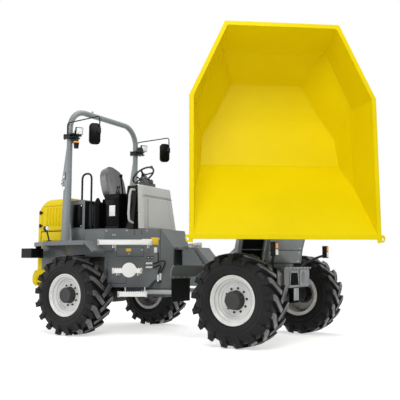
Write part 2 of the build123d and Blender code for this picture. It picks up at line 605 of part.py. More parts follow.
def front_frame():
    """Box frame with its knuckle, swivel ring, nose box with slots and the flap brackets."""
    rear_x = PIVOT_X + LUG_RADIUS + 16
    parts = []
    for side in (-1, 1):
        y0, y1 = sorted((side * 160, side * 190))
        parts.append(side_prism([(rear_x, FRONT_BOTTOM), (500, FRONT_BOTTOM), (500, 900), (330, 950),
                                 (180, 1150), (rear_x + 50, 1155), (rear_x, 1140)], y0, y1))
    parts.append(block(rear_x, rear_x + 30, -190, 190, FRONT_BOTTOM, 1140))
    parts.append(block(rear_x + 10, 180, -165, 165, 1120, 1150))
    hump = side_prism([(rear_x + 60, 940), (rear_x + 60, 1178), (225, 1178), (300, 1090), (430, 960),
                       (430, 920)], -158, 158)
    parts.append(hump)
    # knuckle between the fork lugs
    gap = 3
    tube = rod((PIVOT_X, 0, FRAME_BOTTOM + LUG_THICKNESS + gap),
               (PIVOT_X, 0, NOSE_TIP_TOP - LUG_THICKNESS - gap), 52)
    web = block(PIVOT_X, rear_x + 20, -26, 26, 700, 1100)
    bore = rod((PIVOT_X, 0, 500), (PIVOT_X, 0, 1300), PIN_RADIUS + PIN_CLEARANCE)
    parts.append((tube + web) - bore)
    # main box under the swivel ring
    main_plan = [(420, -190), (560, -FRONT_HALF), (FRONT_FACE_X, -FRONT_HALF)]
    main_plan += [(x, -y) for x, y in reversed(main_plan)]
    inner_plan = [(470, -170), (585, -FRONT_HALF + 30), (FRONT_FACE_X - 30, -FRONT_HALF + 30)]
    inner_plan += [(x, -y) for x, y in reversed(inner_plan)]
    main = plan_prism(main_plan, FRONT_BOTTOM, RING_BOTTOM)
    main -= plan_prism(inner_plan, FRONT_BOTTOM - 5, RING_BOTTOM - 30)
    slots = block(FRONT_FACE_X - 60, FRONT_FACE_X + 1, -90, -10, 700, 860)
    slots += block(FRONT_FACE_X - 60, FRONT_FACE_X + 1, 150, 230, 690, 880)
    parts.append(main - slots)
    for side in (-1, 1):
        parts.append(block(FRONT_AXLE_X - 110, FRONT_AXLE_X + 110, side * 320 - 75, side * 320 + 75,
                           FRAME_BOTTOM, FRONT_BOTTOM + 4))
        arm = front_prism([(side * 180, 930), (side * 180, 800), (side * 1145, 790), (side * 1145, 870),
                           (side * 1085, 935)], 455, 475)
        parts.append(arm)
    ring = Pos(SWIVEL_X, 0, (RING_BOTTOM + RING_TOP) / 2) * Cylinder(RING_RADIUS, RING_TOP - RING_BOTTOM)
    parts.append(ring - Pos(SWIVEL_X, 0, RING_TOP) * Cylinder(RING_RADIUS - 90, 2 * (RING_TOP - RING_BOTTOM)))
    # carrier of the steering ears, under the main box
    parts.append(block(355, 520, -185, 185, STEER_Z - 43, 680))
    for ear in steering_ears(STEER_EYE, 180, 356, 500, False):
        parts += both_sides(ear)
    # towing bracket under the nose box
    parts.append(block(FRONT_FACE_X - 120, FRONT_FACE_X - 30, -110, 110, 600, 665))
    for y in (-60, 0, 60):
        parts.append(rod((FRONT_FACE_X - 75, y, 480), (FRONT_FACE_X - 75, y, 605), 14))
    parts.append(block(FRONT_FACE_X - 120, FRONT_FACE_X - 30, -110, 110, 470, 492))
    return one(*parts)


def mud_flaps():
    flap = block(475 + FIT_GAP, 485, -1150, -750, 500, 792)
    return both_sides(flap)


def front_lamps():
    """Lamp boxes carried forward of the front wheels on bent arms."""
    box = block(FRONT_FACE_X + 40, FRONT_FACE_X + 100, -870, -790, 1035, 1198)
    arm = pipe([(FRONT_FACE_X + 60, -800, 1070), (FRONT_FACE_X, -700, 1040), (FRONT_FACE_X - 100, -520, 960),
                (FRONT_FACE_X - 140, -FRONT_HALF - 14, 880)], 16, 60)
    flange = block(FRONT_FACE_X - 180, FRONT_FACE_X - 100, -FRONT_HALF - 16, -FRONT_HALF - FIT_GAP, 850, 900)
    return both_sides(one(box, arm, flange))


# ---------------------------------------------------------------- swivel pedestal and skip
def swivel_frame():
    """Machine axes turned to the skip's heading, centred on the swivel."""
    return Location((SWIVEL_X, 0, 0), (0, 0, SKIP_HEADING))


CYLINDER_FOOT = (150, 1045)
CYLINDER_EYE_ALONG = 800
CYLINDER_EYE_DEPTH = 75


def pedestal():
    """Swivel frame: base plate, two arms up to the tip hinge and a folded front plate."""
    base_z = RING_TOP + PEDESTAL_GAP
    base = Pos(0, 0, base_z + 14) * Cylinder(RING_RADIUS, 28)
    spigot = Pos(0, 0, base_z - 25) * Cylinder(RING_RADIUS - 96, 60)
    parts = [base, spigot]
    arm_outline = [(-380, base_z), (-380, base_z + 110), (-60, base_z + 150), (260, base_z + 190),
                   (905, 1650), (985, 1590), (520, 1120), (430, base_z)]
    for side in (-1, 1):
        y0, y1 = sorted((side * PEDESTAL_HALF, side * (PEDESTAL_HALF - ARM_SHEET)))
        arm = side_prism(arm_outline, y0, y1)
        boss = rod((TIP_HINGE_REACH, y0, TIP_HINGE_Z), (TIP_HINGE_REACH, y1, TIP_HINGE_Z), TIP_BOSS_RADIUS)
        hole = rod((TIP_HINGE_REACH, y0 - 5, TIP_HINGE_Z), (TIP_HINGE_REACH, y1 + 5, TIP_HINGE_Z),
                   TIP_PIN_RADIUS + PIN_CLEARANCE)
        parts.append((arm + boss) - hole)
    front = side_prism([(430, base_z), (452, base_z), (545, 1120), (800, 1385), (775, 1390), (520, 1130)],
                       -PEDESTAL_HALF + 5, PEDESTAL_HALF - 5)
    parts.append(front)
    for side in (-1, 1):
        y0, y1 = sorted((side * 70, side * 95))
        foot_x, ear_top = CYLINDER_FOOT[0], CYLINDER_FOOT[1] + 34
        ear = side_prism([(foot_x - 75, base_z + 20), (foot_x - 34, ear_top), (foot_x + 34, ear_top),
                          (foot_x + 75, base_z + 20)], y0, y1)
        parts.append(ear)
    parts.append(rod((CYLINDER_FOOT[0], -94, CYLINDER_FOOT[1]), (CYLINDER_FOOT[0], 94, CYLINDER_FOOT[1]), 18))
    return swivel_frame() * one(*parts)


# Corners of the skip's inside, in the skip's own measure:
#            back from the lip, depth below the mouth, half-width
LIP = (48, 0, 1012)
SHOULDER = (1580, 0, 1012)
MOUTH_BACK = (2405, 0, 628)
RAMP_MID = (610, 495, 946)
SIDE_MID = (1580, 500, 953)
BACK_MID = (2291, 507, 596)
RAMP_FOOT = (945, 767, 822)
FLOOR_SHOULDER = (1428, 867, 828)
FLOOR_BREAK = (1574, 897, 734)
FLOOR_BACK = (2021, 906, 448)


def skip_place():
    """Skip's own measure: X back from the lip, Y to its left, Z down into it."""
    tip = radians(SKIP_MOUTH_TILT)
    local = Plane(origin=(LIP_REACH, 0, LIP_HEIGHT), x_dir=(-cos(tip), 0, sin(tip)),
                  z_dir=(-sin(tip), 0, -cos(tip)))
    return swivel_frame() * local.location


def trimmed(body, first, second, third, inside, offset):
    """Cut the body by the plane through three corners, moved outward by offset."""
    a, b, c, m = (Vector(p[0], p[2], p[1]) for p in (first, second, third, inside))
    normal = (b - a).cross(c - a).normalized()
    if (m - a).dot(normal) > 0:
        normal = normal * -1
    plane = Plane(origin=a + normal * offset, z_dir=normal)
    return split(body, bisect_by=plane, keep=Keep.BOTTOM)


def skip_volume(offset, top):
    """Faceted skip form, grown outward by offset and closed at the given depth."""
    body = block(-300, 2700, -1300, 1300, top, 1100)
    middle = (1300, 300, 0)
    # three corners of each panel; all but the first five lie on both sides
    profile = [(LIP, RAMP_FOOT), (RAMP_FOOT, FLOOR_BREAK), (FLOOR_BREAK, FLOOR_BACK), (FLOOR_BACK, BACK_MID),
               (BACK_MID, MOUTH_BACK)]
    for first, second in profile:
        body = trimmed(body, first, second, (first[0], first[1], first[2] + 100), middle, offset)
    panels = [(LIP, SHOULDER, RAMP_MID), (RAMP_MID, SIDE_MID, FLOOR_SHOULDER),
              (SHOULDER, MOUTH_BACK, SIDE_MID), (SIDE_MID, BACK_MID, FLOOR_BACK)]
    for corners in panels:
        body = trimmed(body, *corners, middle, offset)
        body = trimmed(body, *[(s, n, -v) for s, n, v in corners], middle, offset)
    return body


def rim_outline(grow):
    """Outline of the skip's mouth as (back, across), grown outward."""
    slant = tan(radians(12))
    right = [(LIP[0] - grow, -LIP[2] - grow), (SHOULDER[0] + grow * slant, -SHOULDER[2] - grow),
             (MOUTH_BACK[0] + grow, -MOUTH_BACK[2] - grow * 0.62)]
    return right + [(back, -across_by) for back, across_by in reversed(right)]


def skip():
    """Open skip of flat welded panels with a rim all round, hinge lugs and the cylinder bracket."""
    shell = skip_volume(SKIP_WALL, 0) - skip_volume(0, -10)
    rim_band = plan_prism(rim_outline(RIM_FLANGE), 0, RIM_DEPTH)
    rim_band = rim_band - plan_prism(rim_outline(0), -1, RIM_DEPTH + 1) - skip_volume(SKIP_WALL / 2, -20)
    shell = one(shell, rim_band)
    eyes = []
    for side in (-1, 1):
        eye = plan_prism([(-40, side * 1020), (36, side * 1020), (52, side * 1085), (20, side * 1105),
                          (-30, side * 1090)], 4, 26)
        eye -= Pos(2, side * 1078, 15) * Cylinder(14, 60)
        eyes.append(eye)
    return skip_place() * one(shell, *eyes)


def skip_brackets():
    """Hinge lugs and cylinder ears welded under the ramp, drawn in swivel axes with the skip tipped."""
    hinge = (TIP_HINGE_REACH, TIP_HINGE_Z)
    eye = cylinder_eye()
    parts = []
    for side in (-1, 1):
        y0, y1 = sorted((side * (PEDESTAL_HALF + 8), side * (PEDESTAL_HALF + 34)))
        lug = side_prism([ramp_point(420), ramp_point(700), (hinge[0] - 20, hinge[1] + 38),
                          (hinge[0] - 44, hinge[1]), (hinge[0] - 10, hinge[1] - 42),
                          (hinge[0] + 30, hinge[1] - 34)], y0, y1)
        pin = rod((hinge[0], side * (PEDESTAL_HALF - ARM_SHEET - 10), hinge[1]),
                  (hinge[0], side * (PEDESTAL_HALF + 50), hinge[1]), TIP_PIN_RADIUS)
        y0, y1 = side * 36, side * 58
        ear = side_prism([ramp_point(CYLINDER_EYE_ALONG - 110), ramp_point(CYLINDER_EYE_ALONG + 110),
                          (eye[0] - 30, eye[1] + 24), (eye[0] - 32, eye[1] - 24), (eye[0] + 20, eye[1] - 34)],
                         *sorted((y0, y1)))
        head = rod((eye[0], y1, eye[1]), (eye[0], y1 + side * 8, eye[1]), 24)
        parts += [lug + pin, ear + head]
    return swivel_frame() * group(*parts)


def ramp_point(distance, depth=SKIP_WALL + FIT_GAP):
    """Point under the ramp, in swivel axes with the skip tipped: (reach, height)."""
    run, drop = RAMP_FOOT[0] - LIP[0], RAMP_FOOT[1]
    length = hypot(run, drop)
    back = LIP[0] + distance * run / length - depth * drop / length
    down = distance * drop / length + depth * run / length
    tip = radians(SKIP_MOUTH_TILT)
    return (LIP_REACH - back * cos(tip) - down * sin(tip), LIP_HEIGHT + back * sin(tip) - down * cos(tip))


def cylinder_eye():
    """Centre of the tipping cylinder's eye, in swivel axes with the skip tipped."""
    return ramp_point(CYLINDER_EYE_ALONG, CYLINDER_EYE_DEPTH)


def tip_cylinder():
    """Barrel and rod between the pedestal foot and the skip's ears, with the skip tipped."""
    reach, height = cylinder_eye()
    barrel, stem = ram((CYLINDER_FOOT[0], 0, CYLINDER_FOOT[1]), (reach, 0, height), 50, 27, 560, 100, 400, 60,
                       24, (0, 1, 0), 36 - FIT_GAP)
    return swivel_frame() * barrel, swivel_frame() * stem


def ram(foot, eye, barrel_radius, rod_radius, barrel_length, bore_start, rod_start, eye_width, neck, cross,
        pin_half):
    """Hydraulic cylinder: bored barrel with its eye, and rod whose eye holds its own pin.
    Lengths are measured along the cylinder from the foot pin. cross is the direction of both pins, and
    pin_half is half the length of the pin in the rod's eye, which ends at the ears beside it."""
    start, end = Vector(*foot), Vector(*eye)
    way = (end - start).normalized()
    cross = Vector(*cross)
    eye_radius = barrel_radius * 0.8
    pin_radius = eye_radius * 0.45

    def ring(centre):
        return rod(centre - cross * (eye_width / 2), centre + cross * (eye_width / 2), eye_radius)

    shank = rod(start, start + way * (neck + 1), min(barrel_radius, eye_width / 2) - 3)
    tube = rod(start + way * neck, start + way * barrel_length, barrel_radius)
    head = rod(start + way * (barrel_length - 40), start + way * barrel_length, barrel_radius + 5)
    port_foot = start + way * (neck + 40)
    port = rod(port_foot, port_foot + cross.cross(way) * (barrel_radius + 16), 11)
    foot_hole = rod(start - cross * eye_width, start + cross * eye_width, pin_radius + PIN_CLEARANCE)
    barrel = one(ring(start), shank, tube, head, port) - foot_hole
    barrel -= rod(start + way * bore_start, start + way * (barrel_length + 10), rod_radius + 0.6)
    stem = rod(start + way * rod_start, end - way * (eye_radius * 0.6), rod_radius) + ring(end)
    return barrel, stem + rod(end - cross * pin_half, end + cross * pin_half, pin_radius)


def steering_rams():
    """Right-hand ram beside the pivot, from the ears under the nose to those of the front frame."""
    foot, eye = (STEER_FOOT[0], -STEER_FOOT[1], STEER_Z), (STEER_EYE[0], -STEER_EYE[1], STEER_Z)
    return ram(foot, eye, 30, 18, 560, 70, 320, 40, 42, (0, 0, 1), 25 - FIT_GAP)


def steering_ears(centre, inner_y, x0, x1, through):
    """Right-hand pair of ears above and below a steering ram's eye. The pin passes through the barrel's eye,
    and shows only its heads where the rod's eye holds its own pin."""
    x, y = centre[0], -centre[1]
    ears = []
    for z0, z_head in ((STEER_Z - 43, STEER_Z - 48), (STEER_Z + 25, STEER_Z + 43)):
        ear = plan_prism([(x0, -inner_y), (x - 24, y), (x + 24, y), (x1, -inner_y)], z0, z0 + 18)
        ears.append(ear + Pos(x, y, z0 + 9) * Cylinder(27, 18) + rod((x, y, z_head), (x, y, z_head + 5), 16))
    if through:
        ears.append(rod((x, y, STEER_Z - 48), (x, y, STEER_Z + 42), 10.8))
    return ears


# ---------------------------------------------------------------- the machine
pieces = {}
tyre_shape = tyre()
for name, x, side in (("front_left", FRONT_AXLE_X, 1), ("front_right", FRONT_AXLE_X, -1),
                      ("rear_left", REAR_AXLE_X, 1), ("rear_right", REAR_AXLE_X, -1)):
    place = Pos(x, side * TRACK / 2, AXLE_Z)
    pieces["tyre_" + name] = place * tyre_shape
    pieces["rim_" + name] = place * rim(side)
pieces["axle_front"] = axle(FRONT_AXLE_X)
pieces["axle_rear"] = axle(REAR_AXLE_X)

pieces["rear_frame"] = rear_frame()
pieces["side_bodies"] = group(both_sides(side_body()))
pieces["steps"] = group(steps(), [across(s) for s in steps()])
pieces["fenders"] = group(both_sides(fender()))
pieces["engine_hood"] = engine_hood()
pieces["hood_door_right"] = hood_door()
pieces["hood_door_left"] = across(hood_door())
pieces["engine_block"] = engine_block()
pieces["rear_bumper"] = rear_bumper()
pieces["operator_deck"] = deck()
pieces["seat"] = seat()
pieces["control_box"] = control_box()
pieces["canister"] = canister()
pieces["front_console"] = front_console()
pieces["steering_column"] = steering_column()
pieces["steering_wheel"] = steering_wheel()
pieces["grab_rails"] = group(grab_rails())
pieces["console_handles"] = group(console_handles())
pieces["rops_posts"] = group(both_sides(rops_post()))
pieces["rops_hoop"] = rops_hoop()
pieces["mirrors"] = group(mirrors())
pieces["hoop_clamps"] = group(clamps())
pieces["rear_lamps"] = group(rear_lamps())

pieces["front_frame"] = front_frame()
pieces["mud_flaps"] = group(mud_flaps())
pieces["front_lamps"] = group(front_lamps())
steer_barrel, steer_rod = steering_rams()
pieces["steer_barrel_right"], pieces["steer_rod_right"] = steer_barrel, steer_rod
pieces["steer_barrel_left"], pieces["steer_rod_left"] = across(steer_barrel), across(steer_rod)

pieces["pedestal"] = pedestal()
pieces["skip"] = skip()
pieces["skip_brackets"] = skip_brackets()
pieces["tip_barrel"], pieces["tip_rod"] = tip_cylinder()

corners = [shape.bounding_box() for shape in pieces.values()]
shift = Vector(-(min(b.min.X for b in corners) + max(b.max.X for b in corners)) / 2,
               -(min(b.min.Y for b in corners) + max(b.max.Y for b in corners)) / 2,
               -min(b.min.Z for b in corners))
print("shift", round(shift.X, 3), round(shift.Y, 3), round(shift.Z, 3))

os.makedirs("parts", exist_ok=True)
for name, shape in pieces.items():
    export_step(Location(shift) * shape, "parts/" + name + ".step")
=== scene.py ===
"""Articulated site dumper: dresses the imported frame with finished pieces, paints and lights.

The machine stands on a pale floor with its skip swivelled to the right and tipped. Every piece is
built in metres, in the frame's own axes: X forward, Y to the machine's left, Z up.
"""

from __future__ import annotations

import json
import logging
import math
from dataclasses import dataclass, field
from enum import Enum
from typing import Any, Iterable, Sequence

import bmesh
import bpy
from mathutils import Euler, Matrix, Vector

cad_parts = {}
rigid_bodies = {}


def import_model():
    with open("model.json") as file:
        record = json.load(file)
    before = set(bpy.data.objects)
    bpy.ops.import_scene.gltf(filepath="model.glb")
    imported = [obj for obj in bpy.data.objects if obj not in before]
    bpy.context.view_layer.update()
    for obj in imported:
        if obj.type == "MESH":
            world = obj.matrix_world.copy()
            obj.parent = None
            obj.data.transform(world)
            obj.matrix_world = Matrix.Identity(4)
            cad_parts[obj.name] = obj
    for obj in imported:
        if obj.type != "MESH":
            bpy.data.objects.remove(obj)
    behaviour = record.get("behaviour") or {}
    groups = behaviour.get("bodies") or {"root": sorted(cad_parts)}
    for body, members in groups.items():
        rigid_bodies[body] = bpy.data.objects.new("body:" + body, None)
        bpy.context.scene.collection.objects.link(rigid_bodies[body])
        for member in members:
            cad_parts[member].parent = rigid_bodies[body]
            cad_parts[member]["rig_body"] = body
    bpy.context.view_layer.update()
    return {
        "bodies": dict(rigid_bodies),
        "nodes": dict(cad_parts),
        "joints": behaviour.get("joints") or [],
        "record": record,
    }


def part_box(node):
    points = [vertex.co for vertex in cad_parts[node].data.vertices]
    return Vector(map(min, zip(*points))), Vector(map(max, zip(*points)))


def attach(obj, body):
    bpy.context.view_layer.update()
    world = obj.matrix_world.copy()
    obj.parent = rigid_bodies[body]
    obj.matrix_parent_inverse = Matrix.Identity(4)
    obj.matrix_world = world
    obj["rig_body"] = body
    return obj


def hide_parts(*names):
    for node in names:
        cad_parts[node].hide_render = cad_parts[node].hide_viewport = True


LOG = logging.getLogger("dumper")
Pair = tuple[float, float]
Point = tuple[float, float, float]
Mesh = bmesh.types.BMesh
FORWARD, LEFTWARD, UP = Vector((1, 0, 0)), Vector((0, 1, 0)), Vector((0, 0, 1))
# CAD nodes come as loose triangles: corners closer than this are one, and flatter edges go.
MERGE_DISTANCE = 2e-5
FLAT_EDGE = math.radians(0.6)
BEVEL_ABOVE = math.radians(28)


# ------------------------------------------------------------------ bodies and small tools
class Body(Enum):
    """Rigid bodies of the frame that new pieces ride on."""

    REAR = "rear_unit"
    FRONT = "front_unit"
    SWIVEL = "swivel_base"
    SKIP = "skip_body"
    HOOP = "upper_hoop"
    DOOR_LEFT = "door_left"
    DOOR_RIGHT = "door_right"


class Side(Enum):
    """Side of the machine, with the sign of its Y."""

    RIGHT = -1
    LEFT = 1

    @property
    def label(self) -> str:
        """Lower-case name of the side."""
        return self.name.lower()

    def once(self, *nodes: str) -> Sequence[str]:
        """Nodes that a pair of pieces replaces, given to its right-hand piece alone."""
        return nodes if self is Side.RIGHT else ()


def linear(hex_colour: str) -> tuple[float, float, float, float]:
    """Turn an sRGB hex colour into linear RGBA.

    Args:
        hex_colour: colour such as "#F3D516".

    Returns:
        Red, green, blue and alpha, linear.
    """
    channels = [int(hex_colour[i:i + 2], 16) / 255 for i in (1, 3, 5)]
    red, green, blue = (c / 12.92 if c <= 0.04045 else ((c + 0.055) / 1.055) ** 2.4 for c in channels)
    return (red, green, blue, 1.0)


def add_node(tree: bpy.types.NodeTree, kind: str, settings: dict[str | int, Any] | None = None,
             links: dict[str | int, bpy.types.NodeSocket] | None = None) -> bpy.types.Node:
    """Add a shader node with its settings and incoming links.

    Args:
        tree: node tree that takes the node.
        kind: Blender's node type name.
        settings: attributes, or input names with their values.
        links: input names with the output sockets that feed them.

    Returns:
        The new node.
    """
    node = tree.nodes.new(kind)
    for key, value in (settings or {}).items():
        if isinstance(key, str) and hasattr(node, key) and key not in node.inputs:
            setattr(node, key, value)
        else:
            node.inputs[key].default_value = value
    for key, socket in (links or {}).items():
        tree.links.new(socket, node.inputs[key])
    return node


def fresh_tree(owner: bpy.types.Material | bpy.types.World) -> bpy.types.NodeTree:
    """Empty the node tree of a material or world.

    Args:
        owner: what holds the tree.

    Returns:
        The empty tree.
    """
    owner.use_nodes = True
    owner.node_tree.nodes.clear()
    return owner.node_tree


# ------------------------------------------------------------------ finishes
@dataclass(frozen=True)
class Finish:
    """A surface finish: its name, colour and gloss, and the texture that its process leaves."""

    name: str
    colour: str
    roughness: float = 0.5
    shade: str | None = None
    metallic: float = 0.0
    ior: float = 1.5
    coat: float = 0.0
    patch_mm: float = 400.0
    grain_mm: float = 2.0
    grain_height_mm: float = 0.02
    roughness_spread: float = 0.06
    speck: float = 0.0
    speck_colour: str = "#8A8580"

    def material(self) -> bpy.types.Material:
        """Build, or find, the node material of this finish.

        Returns:
            The Blender material.
        """
        found = bpy.data.materials.get(self.name)
        if found:
            return found
        material = bpy.data.materials.new(self.name)
        tree = fresh_tree(material)
        place = add_node(tree, "ShaderNodeTexCoord").outputs["Object"]
        patches = add_node(tree, "ShaderNodeTexNoise",
                           {"Scale": 1000 / self.patch_mm, "Detail": 3.0, "Roughness": 0.55},
                           {"Vector": place}).outputs["Fac"]
        grain = add_node(tree, "ShaderNodeTexNoise",
                         {"Scale": 1000 / self.grain_mm, "Detail": 2.0, "Roughness": 0.6},
                         {"Vector": place}).outputs["Fac"]
        spread = add_node(tree, "ShaderNodeMapRange", {"From Min": 0.35, "From Max": 0.65}, {"Value": patches})
        mix = add_node(tree, "ShaderNodeMix", {"data_type": "RGBA"}, {"Factor": spread.outputs["Result"]})
        mix.inputs[6].default_value = linear(self.colour)
        mix.inputs[7].default_value = linear(self.shade or self.colour)
        colour = mix.outputs[2]
        if self.speck > 0:
            colour = self._dusted(tree, place, colour)
        limits = {"To Min": self.roughness - self.roughness_spread, "To Max": self.roughness + self.roughness_spread}
        gloss = add_node(tree, "ShaderNodeMapRange", limits, {"Value": patches}).outputs["Result"]
        bump = add_node(tree, "ShaderNodeBump", {"Strength": 0.6, "Distance": self.grain_height_mm / 1000},
                        {"Height": grain}).outputs["Normal"]
        settings = {"Metallic": self.metallic, "Coat Weight": self.coat, "Coat Roughness": 0.12}
        shader = add_node(tree, "ShaderNodeBsdfPrincipled", settings,
                          {"Base Color": colour, "Roughness": gloss, "Normal": bump})
        if self.metallic < 0.5:
            shader.inputs["IOR"].default_value = self.ior
        add_node(tree, "ShaderNodeOutputMaterial", {}, {"Surface": shader.outputs["BSDF"]})
        return material

    def _dusted(self, tree: bpy.types.NodeTree, place: bpy.types.NodeSocket,
                colour: bpy.types.NodeSocket) -> bpy.types.NodeSocket:
        """Lay a thin dust over a colour.

        Args:
            tree: the material's node tree.
            place: object coordinates.
            colour: the clean colour.

        Returns:
            The dusted colour.
        """
        dust = add_node(tree, "ShaderNodeTexNoise", {"Scale": 90.0, "Detail": 5.0, "Roughness": 0.7},
                        {"Vector": place})
        share = add_node(tree, "ShaderNodeMapRange", {"From Min": 0.5, "From Max": 0.9, "To Max": self.speck},
                         {"Value": dust.outputs["Fac"]})
        dusty = add_node(tree, "ShaderNodeMix", {"data_type": "RGBA"}, {"Factor": share.outputs["Result"]})
        tree.links.new(colour, dusty.inputs[6])
        dusty.inputs[7].default_value = linear(self.speck_colour)
        return dusty.outputs[2]


@dataclass(frozen=True)
class LampGlass(Finish):
    """Moulded lamp lens: clear or coloured acrylic over a bright reflector."""

    glow: float = 0.0

    def material(self) -> bpy.types.Material:
        """Build, or find, the lens material with its pressed flutes.

        Returns:
            The Blender material.
        """
        found = bpy.data.materials.get(self.name)
        if found:
            return found
        material = super().material()
        tree = material.node_tree
        shader = next(n for n in tree.nodes if n.type == "BSDF_PRINCIPLED")
        place = next(n for n in tree.nodes if n.type == "TEX_COORD").outputs["Object"]
        flutes = add_node(tree, "ShaderNodeTexWave", {"Scale": 60.0, "bands_direction": "Z"}, {"Vector": place})
        bump = add_node(tree, "ShaderNodeBump", {"Strength": 0.5, "Distance": 0.001},
                        {"Height": flutes.outputs["Fac"]})
        tree.links.new(bump.outputs["Normal"], shader.inputs["Normal"])
        shader.inputs["Emission Color"].default_value = linear(self.colour)
        shader.inputs["Emission Strength"].default_value = self.glow
        return material


# Two-coat enamel sprayed on folded steel plate: full yellow, faint orange peel, a soft gloss.
SKIP_ENAMEL = Finish("skip_yellow_enamel", "#E6CF02", 0.42, "#E0C900", ior=1.2, patch_mm=900, grain_mm=3.0,
                     grain_height_mm=0.03)
HOOD_ENAMEL = Finish("hood_yellow_enamel", "#E8CE03", 0.36, "#E2C800", ior=1.22, patch_mm=700, grain_mm=3.0,
                     grain_height_mm=0.03)
# Powder coat baked on welded plate: mid grey with a slight blue, fine pebble, low sheen.
CHASSIS_COAT = Finish("chassis_grey_powder_coat", "#62676A", 0.42, "#595E60", coat=0.1, patch_mm=500, grain_mm=2.4,
                      grain_height_mm=0.05)
# The hoop carries the chassis grey; its lighter value here is painted light, with a glossier coat.
HOOP_GREY_PAINTED_LIT = Finish("hoop_grey_powder_coat", "#7F8689", 0.36, "#767D80", coat=0.2, patch_mm=400, grain_mm=2.0,
                   grain_height_mm=0.03)
PEDESTAL_COAT = Finish("pedestal_grey_powder_coat", "#6C7376", 0.4, "#62686B", coat=0.1, patch_mm=300,
                       grain_mm=2.4, grain_height_mm=0.05)
# A lighter copy of the grey paint for plates that face the light: painted light.
PAINTED_LIT_GREY = Finish("pedestal_light_panel", "#8A9194", 0.36, "#7F8689", coat=0.2, patch_mm=300, grain_mm=2.4,
                        grain_height_mm=0.04)
POD_COAT = Finish("steering_pod_grey", "#47494B", 0.4, "#3E4042", grain_mm=1.6)
# Satin grey paint on moulded polymer panels: smooth, light and even.
CONSOLE_PAINT = Finish("console_light_grey_polymer", "#BEC0C2", 0.4, "#B8BABC", patch_mm=500, grain_mm=1.6,
                       grain_height_mm=0.02)
HANDLE_COAT = Finish("handle_light_grey_coat", "#B4B6B6", 0.35, "#A8AAAA", coat=0.2, grain_mm=1.6)
# Black powder coat on bent rods and small brackets: deep, with a low sheen.
BLACK_COAT = Finish("black_powder_coat", "#101112", 0.42, "#161718", ior=1.3, grain_mm=1.4, grain_height_mm=0.04)
# Moulded black polypropylene with a spark-eroded grain, drawn a little coarse so that it shows.
BLACK_POLYMER = Finish("moulded_black_polypropylene", "#0D0E0F", 0.45, "#141516", ior=1.28, grain_mm=1.2,
                       grain_height_mm=0.08)
# Glossy injection-moulded black housings of the controls.
GLOSS_POLYMER = Finish("gloss_black_abs", "#060607", 0.2, "#0A0A0B", ior=1.17, grain_mm=1.5)
# Cast axle housings, painted dark and a little rough from the sand mould.
CAST_COAT = Finish("sand_cast_dark_coat", "#2B2D2E", 0.6, "#232425", grain_mm=5, grain_height_mm=0.35)
# Carbon-black tyre compound: matt, faintly grey where it flexed.
TYRE_COMPOUND = Finish("vulcanised_tyre_rubber", "#19191A", 0.5, "#131314", ior=1.28, patch_mm=160, grain_mm=4,
                       grain_height_mm=0.15, speck=0.04)
# The same rubber on the lug tops, painted a lighter grey as a painted highlight, with a low roughness for a clear
# sheen.
LUG_TOP_HIGHLIGHT = Finish("ground_polished_rubber", "#58585A", 0.28, "#434345", ior=1.6, patch_mm=90, grain_mm=3,
                    grain_height_mm=0.1)
FLAP_RUBBER = Finish("rolled_flap_rubber", "#0E0E0E", 0.5, "#141414", ior=1.25, grain_mm=3, grain_height_mm=0.1)
GRIP_RUBBER = Finish("moulded_grip_rubber", "#1C1D1E", 0.5, "#242526", grain_mm=1.0, grain_height_mm=0.05)
# White-grey enamel over pressed steel wheels and punched treads.
RIM_ENAMEL = Finish("wheel_pale_enamel", "#E2E2E0", 0.38, "#D6D6D4", coat=0.2, patch_mm=200, grain_mm=2.5)
STEP_COAT = Finish("step_pale_coat", "#F0F1F0", 0.42, "#E6E7E6", grain_mm=2)
HUB_COAT = Finish("hub_dark_coat", "#232425", 0.45, "#1D1E1F", grain_mm=3, grain_height_mm=0.15)
# Embossed vinyl over foam: a mid grey that shines on its crown.
SEAT_VINYL = Finish("seat_grey_vinyl", "#5A5B5D", 0.24, "#505153", coat=0.5, patch_mm=120, grain_mm=1.8,
                    grain_height_mm=0.12)
# Bare metals: ground chrome on the rods, dull zinc on the bolts, silver behind the mirrors' glass.
PLATED_ROD = Finish("hard_chromed_rod", "#D7DADC", 0.12, "#CDD0D2", metallic=1.0, grain_mm=0.8,
                    grain_height_mm=0.003, roughness_spread=0.03)
ZINC = Finish("zinc_plated_fastener", "#B9BCBE", 0.3, "#A8ABAD", metallic=1.0, grain_mm=1.0, grain_height_mm=0.01)
MIRROR_FACE = Finish("silvered_mirror_glass", "#DDE1E3", 0.03, "#D6DADC", metallic=1.0, grain_height_mm=0.0,
                     roughness_spread=0.0)
# Fluted acrylic over a reflector: bright, with a faint glow of its own.
AMBER_LENS = LampGlass("amber_acrylic_lens", "#F4A81C", 0.2, "#EC9C12", ior=1.49, glow=0.15)
CLEAR_LENS = LampGlass("clear_acrylic_lens", "#F3F4F4", 0.15, "#E9EAEA", ior=1.49, glow=0.1)
RED_LENS = LampGlass("red_acrylic_lens", "#B01515", 0.2, "#A01010", ior=1.49, glow=0.05)
# Gaps, recesses and seams that hardly any light reaches.
DARK_VOID = Finish("shadowed_inner_plate", "#08080A", 0.8, "#0C0C0D", ior=1.15)
# Blank printed plates and pale line sleeves.
BLANK_PLATE = Finish("blank_white_plate", "#ECECEC", 0.35, "#E2E2E2")
BLANK_YELLOW = Finish("blank_yellow_plate", "#E9C412", 0.4, "#E0BA08")
BRIGHT_SLEEVE = Finish("white_hose_sleeve", "#EDEDEC", 0.5, "#E4E4E3")


